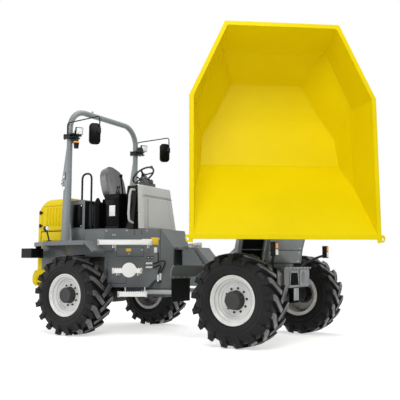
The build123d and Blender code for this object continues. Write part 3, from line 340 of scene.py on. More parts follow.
# ------------------------------------------------------------------ pieces
def new_piece(name: str, mesh: Mesh, finish: Finish, body: Body | str, smooth_angle: float = 35.0,
              bevel_mm: float = 0.0, replaces: Sequence[str] = ()) -> bpy.types.Object:
    """Turn a bmesh into a finished piece that rides on a body.

    Args:
        name: object name.
        mesh: the piece's bmesh, which is freed.
        finish: its finish.
        body: the body it rides on.
        smooth_angle: edges sharper than this stay sharp, in degrees.
        bevel_mm: width of a bevel modifier, or 0 for none.
        replaces: CAD nodes that the piece stands for.

    Returns:
        The new object.
    """
    data = bpy.data.meshes.new(name)
    mesh.to_mesh(data)
    mesh.free()
    data.polygons.foreach_set("use_smooth", [True] * len(data.polygons))
    data.set_sharp_from_angle(angle=math.radians(smooth_angle))
    data.materials.append(finish.material())
    piece = bpy.data.objects.new(name, data)
    bpy.context.scene.collection.objects.link(piece)
    if bevel_mm > 0:
        bevel = piece.modifiers.new("edges", "BEVEL")
        bevel.width = bevel_mm / 1000
        bevel.segments = 2
        bevel.limit_method = "ANGLE"
        bevel.angle_limit = BEVEL_ABOVE
        bevel.harden_normals = True
    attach(piece, body.value if isinstance(body, Body) else body)
    if replaces:
        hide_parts(*replaces)
    LOG.info("piece %s: %d faces", name, len(data.polygons))
    return piece


@dataclass(frozen=True)
class Accent:
    """A second finish for the faces of a piece whose middles lie in a box of the frame."""

    finish: Finish
    low: Vector
    high: Vector

    def holds(self, place: Vector) -> bool:
        """Tell whether a face's middle lies in the box."""
        return all(a <= c <= b for a, c, b in zip(self.low, place, self.high))


def merged_copy(source: bpy.types.Object) -> Mesh:
    """Copy a CAD node's mesh with its corners merged and its flat faces whole.

    Args:
        source: the CAD node's object.

    Returns:
        The copy.
    """
    mesh = bmesh.new()
    mesh.from_mesh(source.data)
    bmesh.ops.remove_doubles(mesh, verts=mesh.verts, dist=MERGE_DISTANCE)
    bmesh.ops.dissolve_limit(mesh, angle_limit=FLAT_EDGE, verts=mesh.verts, edges=mesh.edges)
    return mesh


def dressed_copy(frame: dict[str, Any], node: str, finish: Finish, bevel_mm: float = 3.0, angle: float = 30.0,
                 accents: Sequence[Accent] = ()) -> bpy.types.Object:
    """Copy a CAD node with merged corners and eased edges, to show in its place.

    Args:
        frame: the loaded frame.
        node: name of the CAD node.
        finish: its finish.
        bevel_mm: width of the eased edges.
        angle: edges sharper than this stay sharp, in degrees.
        accents: second finishes and the boxes that they cover.

    Returns:
        The dressed piece.
    """
    source = frame["nodes"][node]
    mesh = merged_copy(source)
    for index, accent in enumerate(accents, start=1):
        for face in mesh.faces:
            if accent.holds(face.calc_center_median()):
                face.material_index = index
    piece = new_piece(node + "_dressed", mesh, finish, source["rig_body"], angle, bevel_mm, [node])
    for accent in accents:
        piece.data.materials.append(accent.finish.material())
    return piece


# ------------------------------------------------------------------ mesh tools
def spun(profile: Iterable[Pair], centre: Point | Vector, axis: Point, start: Point, steps: int = 72,
         closed: bool = False) -> Mesh:
    """Spin a profile about an axis.

    Args:
        profile: (distance along the axis, radius) pairs.
        centre: a point on the axis that distances are measured from.
        axis: direction of the axis.
        start: direction square to the axis that the profile is drawn in.
        steps: facets round the axis.
        closed: join the last point to the first.

    Returns:
        The spun bmesh, with its normals outward.
    """
    mesh = bmesh.new()
    middle, way, out = Vector(centre), Vector(axis).normalized(), Vector(start).normalized()
    verts = [mesh.verts.new(middle + way * a + out * r) for a, r in profile]
    pairs = list(zip(verts, verts[1:])) + ([(verts[-1], verts[0])] if closed else [])
    edges = [mesh.edges.new(pair) for pair in pairs]
    bmesh.ops.spin(mesh, geom=verts + edges, cent=middle, axis=way, angle=math.tau, steps=steps, use_merge=True,
                   use_duplicate=False)
    bmesh.ops.remove_doubles(mesh, verts=mesh.verts, dist=1e-5)
    bmesh.ops.recalc_face_normals(mesh, faces=mesh.faces)
    return mesh


def ease(mesh: Mesh, edges: Sequence[bmesh.types.BMEdge], width: float,
         segments: int = 2) -> list[bmesh.types.BMFace]:
    """Round some edges of a bmesh.

    Args:
        mesh: bmesh that holds them.
        edges: edges to round.
        width: width of the rounding.
        segments: facets across it.

    Returns:
        The new faces.
    """
    return bmesh.ops.bevel(mesh, geom=edges, offset=width, segments=segments, affect="EDGES", profile=0.5,
                           material=-1)["faces"]


def bead_block(mesh: Mesh, size: Point, place: Matrix, bevel: float = 0.0) -> None:
    """Add a box with eased edges to a bmesh.

    Args:
        mesh: bmesh that takes the box.
        size: its lengths.
        place: where its middle goes.
        bevel: width of the eased edges.
    """
    verts = bmesh.ops.create_cube(mesh, size=1.0, matrix=Matrix.Diagonal((*size, 1.0)))["verts"]
    if bevel > 0:
        faces = ease(mesh, list({e for v in verts for e in v.link_edges}), bevel)
        verts = island({v for f in faces for v in f.verts} | {v for v in verts if v.is_valid})
    bmesh.ops.transform(mesh, matrix=place, verts=verts)


def island(seeds: Iterable[bmesh.types.BMVert]) -> list[bmesh.types.BMVert]:
    """Find all vertices joined to the given ones.

    Args:
        seeds: vertices to start from.

    Returns:
        The joined vertices.
    """
    seen = {v for v in seeds if v.is_valid}
    stack = list(seen)
    while stack:
        for edge in stack.pop().link_edges:
            fresh = set(edge.verts) - seen
            seen |= fresh
            stack += fresh
    return list(seen)


def add_disc(mesh: Mesh, centre: Vector, way: Vector, radius: float, depth: float, segments: int = 24,
             top: float | None = None) -> None:
    """Add a round bar, or a cone where top is given, from centre along way.

    Args:
        mesh: bmesh that takes it.
        centre: middle of its first end.
        way: its direction.
        radius: radius of the first end.
        depth: its length.
        segments: facets round it.
        top: radius of the far end.
    """
    turn = way.normalized().to_track_quat("Z", "Y").to_matrix().to_4x4()
    place = Matrix.Translation(centre + way.normalized() * depth / 2) @ turn
    bmesh.ops.create_cone(mesh, cap_ends=True, segments=segments, radius1=radius,
                          radius2=radius if top is None else top, depth=depth, matrix=place)


def add_ball(mesh: Mesh, place: Matrix, radius: float, around: int, along: int) -> None:
    """Add a ball.

    Args:
        mesh: bmesh that takes it.
        place: where its middle goes.
        radius: its radius.
        around: facets round its axis.
        along: facets from pole to pole.
    """
    bmesh.ops.create_uvsphere(mesh, u_segments=around, v_segments=along, radius=radius, matrix=place)


def placed(origin: Vector, across: Vector, up: Vector) -> Matrix:
    """Place whose X runs across, Y up and Z outward.

    Args:
        origin: where it starts.
        across: direction of its X.
        up: direction of its Y.

    Returns:
        The matrix.
    """
    first, second = across.normalized(), up.normalized()
    turn = Matrix((first, second, first.cross(second))).transposed().to_4x4()
    return Matrix.Translation(origin) @ turn


def outward_of(place: Matrix) -> Vector:
    """Outward direction, the Z, of a place."""
    return place.to_3x3() @ UP


def mirror_across(mesh: Mesh, middle: float) -> None:
    """Add a copy of everything in a bmesh, mirrored across the machine's middle plane.

    Args:
        mesh: bmesh that is doubled.
        middle: Y of the middle plane.
    """
    made = bmesh.ops.duplicate(mesh, geom=mesh.verts[:] + mesh.edges[:] + mesh.faces[:])["geom"]
    verts = [g for g in made if isinstance(g, bmesh.types.BMVert)]
    bmesh.ops.translate(mesh, verts=verts, vec=(0, -middle, 0))
    bmesh.ops.scale(mesh, verts=verts, vec=(1, -1, 1))
    bmesh.ops.translate(mesh, verts=verts, vec=(0, middle, 0))
    bmesh.ops.reverse_faces(mesh, faces=[g for g in made if isinstance(g, bmesh.types.BMFace)])


def hex_heads(mesh: Mesh, spots: Iterable[Vector], way: Vector, radius: float = 0.009) -> None:
    """Add hexagon bolt heads on washers.

    Args:
        mesh: bmesh that takes them.
        spots: where each one sits.
        way: direction that they point in.
        radius: radius of the hexagon.
    """
    for spot in spots:
        add_disc(mesh, spot, way, radius * 1.35, radius * 0.25, 16)
        add_disc(mesh, spot, way, radius, radius * 0.9, 6)


def rectangle(low: Pair, high: Pair) -> list[Pair]:
    """Corners of an upright rectangle, anticlockwise from its lowest left one."""
    return [low, (high[0], low[1]), high, (low[0], high[1])]


def flat_plate(mesh: Mesh, outline: Sequence[Pair], depth: float, place: Matrix) -> None:
    """Add a flat plate of any outline, extruded outward from its place.

    Args:
        mesh: bmesh that takes the plate.
        outline: (across, up) corners, anticlockwise seen from outside.
        depth: its thickness.
        place: where it lies.
    """
    foot = mesh.faces.new([mesh.verts.new(place @ Vector((x, y, 0))) for x, y in outline])
    raised = bmesh.ops.extrude_face_region(mesh, geom=[foot])["geom"]
    top = [g for g in raised if isinstance(g, bmesh.types.BMVert)]
    bmesh.ops.translate(mesh, verts=top, vec=outward_of(place) * depth)
    bmesh.ops.recalc_face_normals(mesh, faces=list({f for v in top for f in v.link_faces} | {foot}))


def rounded_route(points: Sequence[Vector], bend: float, steps: int = 8) -> list[Vector]:
    """Round each corner of a route with a smooth curve.

    Args:
        points: corners of the route.
        bend: radius of the bends.
        steps: stretches in each bend.

    Returns:
        Points along the route.
    """
    route = [points[0]]
    for before, corner, after in zip(points, points[1:], points[2:]):
        back, on = (before - corner), (after - corner)
        cut = min(bend / math.tan(back.angle(on) / 2), back.length * 0.49, on.length * 0.49)
        first, last = corner + back.normalized() * cut, corner + on.normalized() * cut
        for step in range(steps + 1):
            share = step / steps
            route.append(first.lerp(corner, share).lerp(corner.lerp(last, share), share))
    return [*route, points[-1]]


def bent_bar(name: str, points: Sequence[Vector], radius: float, finish: Finish, body: Body, bend: float = 0.04,
             replaces: Sequence[str] = ()) -> bpy.types.Object:
    """A round bar along straight runs with rounded corners.

    Args:
        name: object name.
        points: corners of its centre line.
        radius: radius of the bar.
        finish: its finish.
        body: the body it rides on.
        bend: radius of the corners.
        replaces: CAD nodes that it stands for.

    Returns:
        The bar, as a mesh object.
    """
    curve = bpy.data.curves.new(name + "_line", "CURVE")
    curve.dimensions = "3D"
    curve.bevel_depth = radius
    curve.bevel_resolution = 5
    curve.use_fill_caps = True
    spline = curve.splines.new("POLY")
    route = rounded_route(points, bend)
    spline.points.add(len(route) - 1)
    for slot, place in zip(spline.points, route):
        slot.co = (*place, 1.0)
    helper = bpy.data.objects.new(name + "_helper", curve)
    bpy.context.scene.collection.objects.link(helper)
    bpy.context.view_layer.update()
    data = bpy.data.meshes.new_from_object(helper.evaluated_get(bpy.context.evaluated_depsgraph_get()))
    bpy.data.objects.remove(helper)
    mesh = bmesh.new()
    mesh.from_mesh(data)
    bpy.data.meshes.remove(data)
    bmesh.ops.remove_doubles(mesh, verts=mesh.verts, dist=1e-5)
    return new_piece(name, mesh, finish, body, 40.0, replaces=replaces)


# ------------------------------------------------------------------ datum and simple shapes
@dataclass
class Datum:
    """Machine axes inside the frame: the ground point midway between the wheels."""

    x: float = 0.0
    y: float = 0.0

    @classmethod
    def from_wheels(cls) -> "Datum":
        """Find the datum from the boxes of two opposite tyres.

        Returns:
            The datum.
        """
        first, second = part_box("tyre_front_left"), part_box("tyre_rear_right")
        return cls(*[(first[0][i] + first[1][i] + second[0][i] + second[1][i]) / 4 for i in range(2)])

    def at(self, x: float, y: float, z: float) -> Vector:
        """Point of the frame for a point in machine axes."""
        return Vector((self.x + x, self.y + y, z))

    def place(self, x: float, y: float, z: float) -> Matrix:
        """Unturned place at a point in machine axes."""
        return Matrix.Translation(self.at(x, y, z))


@dataclass(frozen=True)
class Block:
    """A box with eased edges: its lengths, and its middle in machine axes."""

    size: Point
    middle: Point
    eased: float = 0.0

    def add(self, mesh: Mesh, datum: Datum) -> None:
        """Add it to a bmesh."""
        bead_block(mesh, self.size, datum.place(*self.middle), self.eased)


@dataclass(frozen=True)
class Bar:
    """A round bar, or a cone where top is given: its foot in machine axes, and its direction."""

    foot: Point
    way: Point
    radius: float
    length: float
    facets: int = 24
    top: float | None = None

    def add(self, mesh: Mesh, datum: Datum) -> None:
        """Add it to a bmesh."""
        add_disc(mesh, datum.at(*self.foot), Vector(self.way), self.radius, self.length, self.facets, self.top)


@dataclass(frozen=True)
class Bolts:
    """Hexagon bolt heads: their places in machine axes, and the direction that they point in."""

    spots: tuple[Point, ...]
    way: Point
    radius: float

    def add(self, mesh: Mesh, datum: Datum) -> None:
        """Add them to a bmesh."""
        hex_heads(mesh, [datum.at(*spot) for spot in self.spots], Vector(self.way), self.radius)


@dataclass
class Assembly:
    """What every sub-assembly has: the loaded frame and the machine's datum."""

    frame: dict[str, Any]
    datum: Datum

    def dress(self, *rows: tuple[str, Finish, float]) -> None:
        """Show dressed copies of CAD nodes, from rows of node, finish and bevel in mm."""
        for row in rows:
            dressed_copy(self.frame, *row)

    def shaped(self, *shapes: Block | Bar | Bolts) -> Mesh:
        """Put simple shapes together in one bmesh.

        Args:
            shapes: the shapes, in order.

        Returns:
            The bmesh.
        """
        mesh = bmesh.new()
        for shape in shapes:
            shape.add(mesh, self.datum)
        return mesh

    def both_sides(self, name: str, mesh: Mesh, finish: Finish, body: Body = Body.REAR) -> None:
        """Mirror a bmesh to the other side and make it one piece.

        Args:
            name: object name.
            mesh: the right-hand side's bmesh.
            finish: its finish.
            body: the body it rides on.
        """
        mirror_across(mesh, self.datum.y)
        new_piece(name, mesh, finish, body)


# ------------------------------------------------------------------ wheels
@dataclass
class Wheel:
    """A lugged tyre on its stepped rim, with hub cap and wheel bolts."""

    axle_end: str
    side: Side
    lugs: int = 17
    lug_height: float = 0.042
    lug_root: float = 0.020
    tyre_width: float = 0.405
    # share of each lug's height, from its top, that takes the lighter rubber: painted highlight
    worn_share: float = 0.3
    rim_width: float = 0.356
    bolts: int = 10
    bolt_circle: float = 0.137
    disc_inset: float = 0.104
    # lug outline on the tread: across from the middle, and round the tread
    lug_outline: tuple[Pair, ...] = (
        (-0.034, 0.150), (0.056, 0.054), (0.114, -0.004), (0.158, -0.034), (0.2025, -0.040),
        (0.2025, 0.038), (0.170, 0.044), (0.128, 0.088), (0.064, 0.150), (0.004, 0.198))
    # the lug's shoulder end, which runs on down the sidewall: round, across and outward
    shoulder: Point = (0.056, 0.030, 0.100)
    # left half of the carcass from its bead: across from the middle, and radius
    sidewall: tuple[Pair, ...] = (
        (-0.164, 0.262), (-0.166, 0.292), (-0.174, 0.294), (-0.178, 0.302), (-0.1825, 0.304), (-0.1865, 0.318),
        (-0.1905, 0.333), (-0.1935, 0.336), (-0.1945, 0.341), (-0.1938, 0.350), (-0.1972, 0.385),
        (-0.1992, 0.388), (-0.1990, 0.395), (-0.1968, 0.398), (-0.1945, 0.422), (-0.1965, 0.425),
        (-0.1958, 0.432), (-0.1930, 0.434), (-0.1885, 0.452), (-0.176, 0.474), (-0.158, 0.487))
    # crown of the carcass: across from the middle, and drop below its top
    crown: tuple[Pair, ...] = ((-0.120, 0.003), (-0.060, 0.001), (0.0, 0.0))
    # rim: 1 at the outer edge and -1 at the inner one, inset from that edge, and radius
    rim_section: tuple[Point, ...] = (
        (-1, 0.0, 0.243), (-1, 0.0, 0.279), (-1, 0.004, 0.285), (-1, 0.012, 0.285), (-1, 0.015, 0.255),
        (0, 0.0, 0.251), (1, 0.015, 0.255), (1, 0.012, 0.285), (1, 0.003, 0.285), (1, 0.0, 0.281),
        (1, 0.0, 0.274), (1, 0.006, 0.266), (1, 0.016, 0.258), (1, 0.020, 0.247), (1, 0.052, 0.243),
        (1, 0.058, 0.238), (1, 0.070, 0.222), (1, 0.092, 0.216), (1, 0.097, 0.208), (1, 0.090, 0.203),
        (1, 0.092, 0.190), (1, 0.102, 0.184), (1, 0.104, 0.150), (1, 0.100, 0.112), (1, 0.118, 0.110),
        (1, 0.118, 0.190), (1, 0.112, 0.215), (1, 0.085, 0.226), (1, 0.068, 0.241), (-1, 0.03, 0.239))
    # hub cap: inset from the rim's outer edge, and radius
    cap_section: tuple[Pair, ...] = (
        (0.160, 0.0), (0.160, 0.124), (0.119, 0.124), (0.119, 0.106), (0.022, 0.104), (0.008, 0.096),
        (0.005, 0.084), (0.007, 0.074), (0.007, 0.030), (0.004, 0.026), (0.004, 0.0))
    # washer, nut and stud of each wheel bolt: radius, length and facets
    bolt_steps: tuple[tuple[float, float, int], ...] = ((0.014, 0.004, 20), (0.0105, 0.017, 6), (0.006, 0.024, 12))
    centre: Vector = field(default_factory=Vector)
    radius: float = 0.538

    def build(self) -> None:
        """Build the tyre, rim, hub cap and bolts in place of their CAD nodes."""
        name = f"{self.axle_end}_{self.side.label}"
        low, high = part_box("tyre_" + name)
        self.centre = (Vector(low) + Vector(high)) / 2
        self.radius = (high[2] - low[2]) / 2
        self._tyre("tyre_" + name, "wheel_" + name)
        self._rim("rim_" + name, "wheel_" + name)

    def _turned(self, section: Iterable[Pair], steps: int, closed: bool = False) -> Mesh:
        """Spin a section about the axle."""
        return spun(section, self.centre, (0, 1, 0), (0, 0, 1), steps, closed)

    def _tyre(self, node: str, body: str) -> None:
        """Carcass spun from its section, and two rows of slanted lugs laid round it.

        Args:
            node: CAD node of the tyre.
            body: the wheel's body.
        """
        base = self.radius - self.lug_height
        section = [*self.sidewall, *((a, base - drop) for a, drop in self.crown)]
        mesh = self._turned(section + [(-a, r) for a, r in reversed(section[:-1])], 102)
        lug = self._lug_template(base)
        for side in Side:
            for index in range(self.lugs):
                stagger = 0.5 if side is Side.LEFT else 0.0
                self._lay_lug(mesh, lug, side.value, math.tau / self.lugs * (index + stagger))
        # faces near the lug tops take the lighter rubber: painted highlight
        highlight_from = self.radius - self.worn_share * self.lug_height
        for face in mesh.faces:
            place = face.calc_center_median() - self.centre
            if math.hypot(place.x, place.z) > highlight_from:
                face.material_index = 1
        piece = new_piece(node + "_moulded", mesh, TYRE_COMPOUND, body, 32.0, replaces=[node])
        piece.data.materials.append(LUG_TOP_HIGHLIGHT.material())

    def _lug_template(self, base: float) -> Mesh:
        """One lug as a flat prism with eased edges: X round the tread, Y across, Z outward.

        Args:
            base: radius of the tread between the lugs.

        Returns:
            The lug.
        """
        flat = bmesh.new()
        foot = flat.faces.new([flat.verts.new((t, w, base - self.lug_root)) for w, t in self.lug_outline])
        raised = bmesh.ops.extrude_face_region(flat, geom=[foot])
        top = [v for v in raised["geom"] if isinstance(v, bmesh.types.BMVert)]
        bmesh.ops.translate(flat, verts=top, vec=(0, 0, self.lug_height + self.lug_root))
        bmesh.ops.scale(flat, vec=(0.90, 1.0, 1.0), verts=top, space=Matrix.Translation((-0.03, 0, 0)))
        edge = self.tyre_width / 2 - 0.0155
        bead_block(flat, self.shoulder, Matrix.Translation((0.0, edge, base - 0.026)), 0.006)
        bmesh.ops.recalc_face_normals(flat, faces=flat.faces)
        face_z = base + self.lug_height - 0.002
        ease(flat, [e for e in flat.edges if all(v.co.z > face_z for v in e.verts)], 0.0055)
        for vert in flat.verts:
            # the tread falls away towards its shoulders
            vert.co.z -= max(0.0, abs(vert.co.y) - 0.11) ** 2 * 0.9
        return flat

    def _lay_lug(self, mesh: Mesh, lug: Mesh, side: int, turn: float) -> None:
        """Bend a copy of the lug round the tread and add it to the tyre.

        Args:
            mesh: the tyre.
            lug: the lug, flat.
            side: sign of the side that it lies on.
            turn: where round the tread, in radians.
        """
        copies: dict[bmesh.types.BMVert, bmesh.types.BMVert] = {}
        for vert in lug.verts:
            angle = turn + vert.co.x / self.radius
            around = Vector((math.sin(angle), 0, math.cos(angle))) * vert.co.z
            copies[vert] = mesh.verts.new(self.centre + around + Vector((0, side * vert.co.y, 0)))
        for face in lug.faces:
            ring = [copies[v] for v in face.verts]
            mesh.faces.new(ring if side > 0 else list(reversed(ring)))

    def _rim(self, node: str, body: str) -> None:
        """Stepped rim with its wheel disc, hub cap and bolts.

        Args:
            node: CAD node of the rim.
            body: the wheel's body.
        """
        out, edge = self.side.value, self.rim_width / 2
        section = [(out * end * (edge - inset), r) for end, inset, r in self.rim_section]
        new_piece(node + "_pressed", self._turned(section, 96, True), RIM_ENAMEL, body, 30.0, replaces=[node])
        cap = [(out * (edge - inset), r) for inset, r in self.cap_section]
        new_piece(node + "_hub_cap", self._turned(cap, 64), HUB_COAT, body, 30.0)
        mesh, way = bmesh.new(), Vector((0, out, 0))
        for index in range(self.bolts):
            angle = math.tau * (index + 0.3) / self.bolts
            spot = self.centre + Vector((math.sin(angle) * self.bolt_circle, out * (edge - self.disc_inset),
                                         math.cos(angle) * self.bolt_circle))
            for radius, length, facets in self.bolt_steps:
                add_disc(mesh, spot, way, radius, length, facets)
        new_piece(node + "_bolts", mesh, HUB_COAT, body, 30.0)


# ------------------------------------------------------------------ skip and front unit
@dataclass
class Skip(Assembly):
    """Folded-plate skip with its hinge lugs and cylinder bracket."""

    weld_radius: float = 0.006
    weld_turn: float = 25.0
    shortest_weld: float = 0.25
    smallest_plate: float = 0.05

    def build(self) -> None:
        """Dress the skip and its brackets."""
        skip = dressed_copy(self.frame, "skip", SKIP_ENAMEL, 4.0, 5.0)
        self.dress(("skip_brackets", SKIP_ENAMEL, 2.0))
        self._welds(skip)

    def _welds(self, skip: bpy.types.Object) -> None:
        """Fillet welds along every inside corner between the folded plates.

        Args:
            skip: the dressed skip.
        """
        shell, mesh = bmesh.new(), bmesh.new()
        shell.from_mesh(skip.data)
        for edge in shell.edges:
            if len(edge.link_faces) != 2 or edge.calc_length() <= self.shortest_weld:
                continue
            inside = edge.calc_face_angle_signed(0.0) < -math.radians(self.weld_turn)
            if inside and min(f.calc_area() for f in edge.link_faces) > self.smallest_plate:
                first, last = (v.co for v in edge.verts)
                add_disc(mesh, first, last - first, self.weld_radius, (last - first).length, 10)
        shell.free()
        new_piece("skip_welds", mesh, SKIP_ENAMEL, Body.SKIP)


@dataclass(frozen=True)
class Strip:
    """A plate on a fold: its sides as shares of the fold's width, gaps at foot and head, and height."""

    sides: Pair
    foot_gap: float
    head_gap: float
    height: float

    def lay(self, mesh: Mesh, place: Matrix, width: float, rise: float) -> None:
        """Lay it on a fold.

        Args:
            mesh: bmesh that takes it.
            place: the fold's lower corner.
            width: the fold's width.
            rise: the fold's height.
        """
        left, right = (share * width for share in self.sides)
        flat_plate(mesh, rectangle((left, self.foot_gap), (right, rise - self.head_gap)), self.height, place)


@dataclass
class TippingGear(Assembly):
    """Swivel pedestal and tip cylinder."""

    heading: float = -52.6
    swivel_x: float = 1.112
    half: float = 0.395
    # the folded front plate: distance forward of the swivel, and height
    fold: tuple[Pair, ...] = ((0.452, 0.960), (0.545, 1.120), (0.7996, 1.385))
    # thin near-black sheet laid on the recess: painted shade
    recess: Strip = Strip((0.05, 0.36), 0.012, 0.004, 0.002)
    # upright rib, edge strip and raised panel, in the lighter grey that is painted light
    strips: tuple[Strip, ...] = (Strip((0.37, 0.395), 0.0, 0.0, 0.050), Strip((0.0, 0.035), 0.0, 0.0, 0.006),
                                 Strip((0.46, 0.975), 0.010, 0.008, 0.007))
    bolt_shares: Pair = (0.49, 0.945)
    bolt_inset: float = 0.035
    panel_height: float = 0.007

    def _turned(self, forward: float, across: float, height: float) -> Vector:
        """Point of the frame for a point in the skip's heading."""
        turn = Matrix.Rotation(math.radians(self.heading), 3, "Z")
        return self.datum.at(self.swivel_x, 0.0, height) + turn @ Vector((forward, across, 0.0))

    def _front_panels(self) -> None:
        """Near-black sheet on the recess as painted shade, and rib, edge strip and raised panel in the lighter grey
        as painted light, on both folds of the front plate.
        """
        recess, panel, bolts = bmesh.new(), bmesh.new(), bmesh.new()
        for (low_x, low_z), (high_x, high_z) in zip(self.fold, self.fold[1:]):
            corner = self._turned(low_x, -self.half, low_z)
            across = self._turned(low_x, self.half, low_z) - corner
            up = self._turned(high_x, -self.half, high_z) - corner
            place = placed(corner, across, up)
            rise, width = up.length, across.length
            self.recess.lay(recess, place, width, rise)
            for strip in self.strips:
                strip.lay(panel, place, width, rise)
            spots = [place @ Vector((share * width, lift, self.panel_height)) for share in self.bolt_shares
                     for lift in (self.bolt_inset, rise - self.bolt_inset)]
            hex_heads(bolts, spots, outward_of(place), 0.008)
        # the recess's near-black sheet: painted shade
        new_piece("pedestal_recess", recess, DARK_VOID, Body.SWIVEL)
        # rib, edge strip and raised panel in the lighter grey: painted light
        new_piece("pedestal_front_panels", panel, PAINTED_LIT_GREY, Body.SWIVEL, bevel_mm=2.0)
        new_piece("pedestal_bolts", bolts, ZINC, Body.SWIVEL)

    def build(self) -> None:
        """Dress the pedestal and the cylinder."""
        self._front_panels()
        self.dress(("pedestal", PEDESTAL_COAT, 3.0), ("tip_barrel", BLACK_COAT, 1.5), ("tip_rod", PLATED_ROD, 1.0))


@dataclass
class FrontUnit(Assembly):
    """Front frame, axle, steering rams, mud flaps and front lamps."""

    face_x: float = 1.600
    box_top: float = 0.905
    flange: Block = Block((0.060, 0.830, 0.016), (1.592, 0, 0.903), 0.003)
    flange_bolts: tuple[float, ...] = (-0.38, -0.27, -0.16, -0.05, 0.06, 0.17, 0.28, 0.38)
    # (across, up) corners on the face of the front box, and how far each stands out
    opening_frame: tuple[Pair, ...] = ((-0.262, 0.668), (0.048, 0.668), (0.012, 0.862), (-0.226, 0.862))
    # the opening is filled by a near-black sheet: painted shade
    opening: tuple[Pair, ...] = ((-0.236, 0.690), (0.022, 0.690), (-0.008, 0.842), (-0.206, 0.842))
    casting_plate: tuple[Pair, Pair] = ((0.075, 0.672), (0.385, 0.880))
    plate_bolts: tuple[Point, ...] = ((1.605, 0.100, 0.695), (1.605, 0.100, 0.858), (1.605, 0.360, 0.695),
                                      (1.605, 0.360, 0.858))
    # oval casting: its middle and half lengths, and the ribs across it
    casting: Point = (1.602, 0.205, 0.775)
    casting_halves: Point = (0.030, 0.066, 0.088)
    casting_ribs: tuple[float, ...] = (-0.045, -0.015, 0.015, 0.045)
    tow_bars: tuple[float, ...] = (-0.060, -0.020, 0.020, 0.060)
    # faces of the front frame in this box take the near-black finish: painted shade behind the tow bars
    tow_box: tuple[Point, Point] = ((1.475, -0.125, 0.40), (1.60, 0.125, 0.668))
    flap_strip: Block = Block((0.007, 0.404, 0.030), (0.4895, -0.950, 0.790), 0.001)
    flap_bolts: Bolts = Bolts(tuple((0.493, -1.118 + 0.112 * index, 0.790) for index in range(4)), (1, 0, 0), 0.009)
    # heights of the two lenses of each front lamp
    lenses: tuple[tuple[str, Finish, float, float], ...] = (("amber", AMBER_LENS, 1.122, 1.186),
                                                            ("clear", CLEAR_LENS, 1.048, 1.114))
    lens_spot: Pair = (1.703, -0.830)

    def _nose(self) -> None:
        """Top flange with its bolts, the framed opening with a near-black sheet in it as painted shade, and the oval
        casting on the front box.
        """
        plate, dark, bolts = self.shaped(self.flange), bmesh.new(), bmesh.new()
        face = placed(self.datum.at(self.face_x, 0, 0), LEFTWARD, UP)
        flat_plate(plate, self.opening_frame, 0.006, face)
        flat_plate(dark, self.opening, 0.0075, face)
        flat_plate(plate, rectangle(*self.casting_plate), 0.005, face)
        add_ball(plate, self.datum.place(*self.casting) @ Matrix.Diagonal((*self.casting_halves, 1.0)), 1.0, 28, 16)
        _, across, height = self.casting
        for lift in self.casting_ribs:
            size = (0.016, 0.100 - abs(lift), 0.008)
            bead_block(plate, size, self.datum.place(self.face_x + 0.022, across, height + lift), 0.002)
        spots = [self.datum.at(self.face_x + 0.022, y, self.box_top - 0.002) for y in self.flange_bolts]
        hex_heads(bolts, spots + [self.datum.at(*spot) for spot in self.plate_bolts], FORWARD, 0.009)
        for y in self.tow_bars:
            Bar((1.578, y, 0.500), (0, 0, 1), 0.009, 0.150, 14).add(bolts, self.datum)
        # flange, frames, casting and ribs in the lighter grey: painted light
        new_piece("front_box_plates", plate, PAINTED_LIT_GREY, Body.FRONT, bevel_mm=1.5)
        # near-black sheet in the opening: painted shade
        new_piece("front_box_opening", dark, DARK_VOID, Body.FRONT)
        new_piece("front_box_fasteners", bolts, ZINC, Body.FRONT)

    def build(self) -> None:
        """Dress the front unit."""
        self._nose()
        self.both_sides("flap_strips", self.shaped(self.flap_strip), CHASSIS_COAT, Body.FRONT)
        self.both_sides("flap_bolts", self.shaped(self.flap_bolts), ZINC, Body.FRONT)
        for name, finish, low, high in self.lenses:
            lens = Block((0.010, 0.062, high - low), (*self.lens_spot, (low + high) / 2), 0.004)
            self.both_sides(f"front_lamp_{name}_lens", self.shaped(lens), finish, Body.FRONT)
        # the front frame's faces behind the tow bars are painted near-black: painted shade
        tow = Accent(DARK_VOID, *(self.datum.at(*corner) for corner in self.tow_box))
        dressed_copy(self.frame, "front_frame", CHASSIS_COAT, accents=(tow,))
        self.dress(("axle_front", CAST_COAT, 4.0), ("mud_flaps", FLAP_RUBBER, 1.5),
                   ("front_lamps", BLACK_POLYMER, 2.0))
        for side in Side:
            self.dress((f"steer_barrel_{side.label}", CONSOLE_PAINT, 1.5),
                       (f"steer_rod_{side.label}", PLATED_ROD, 1.0))


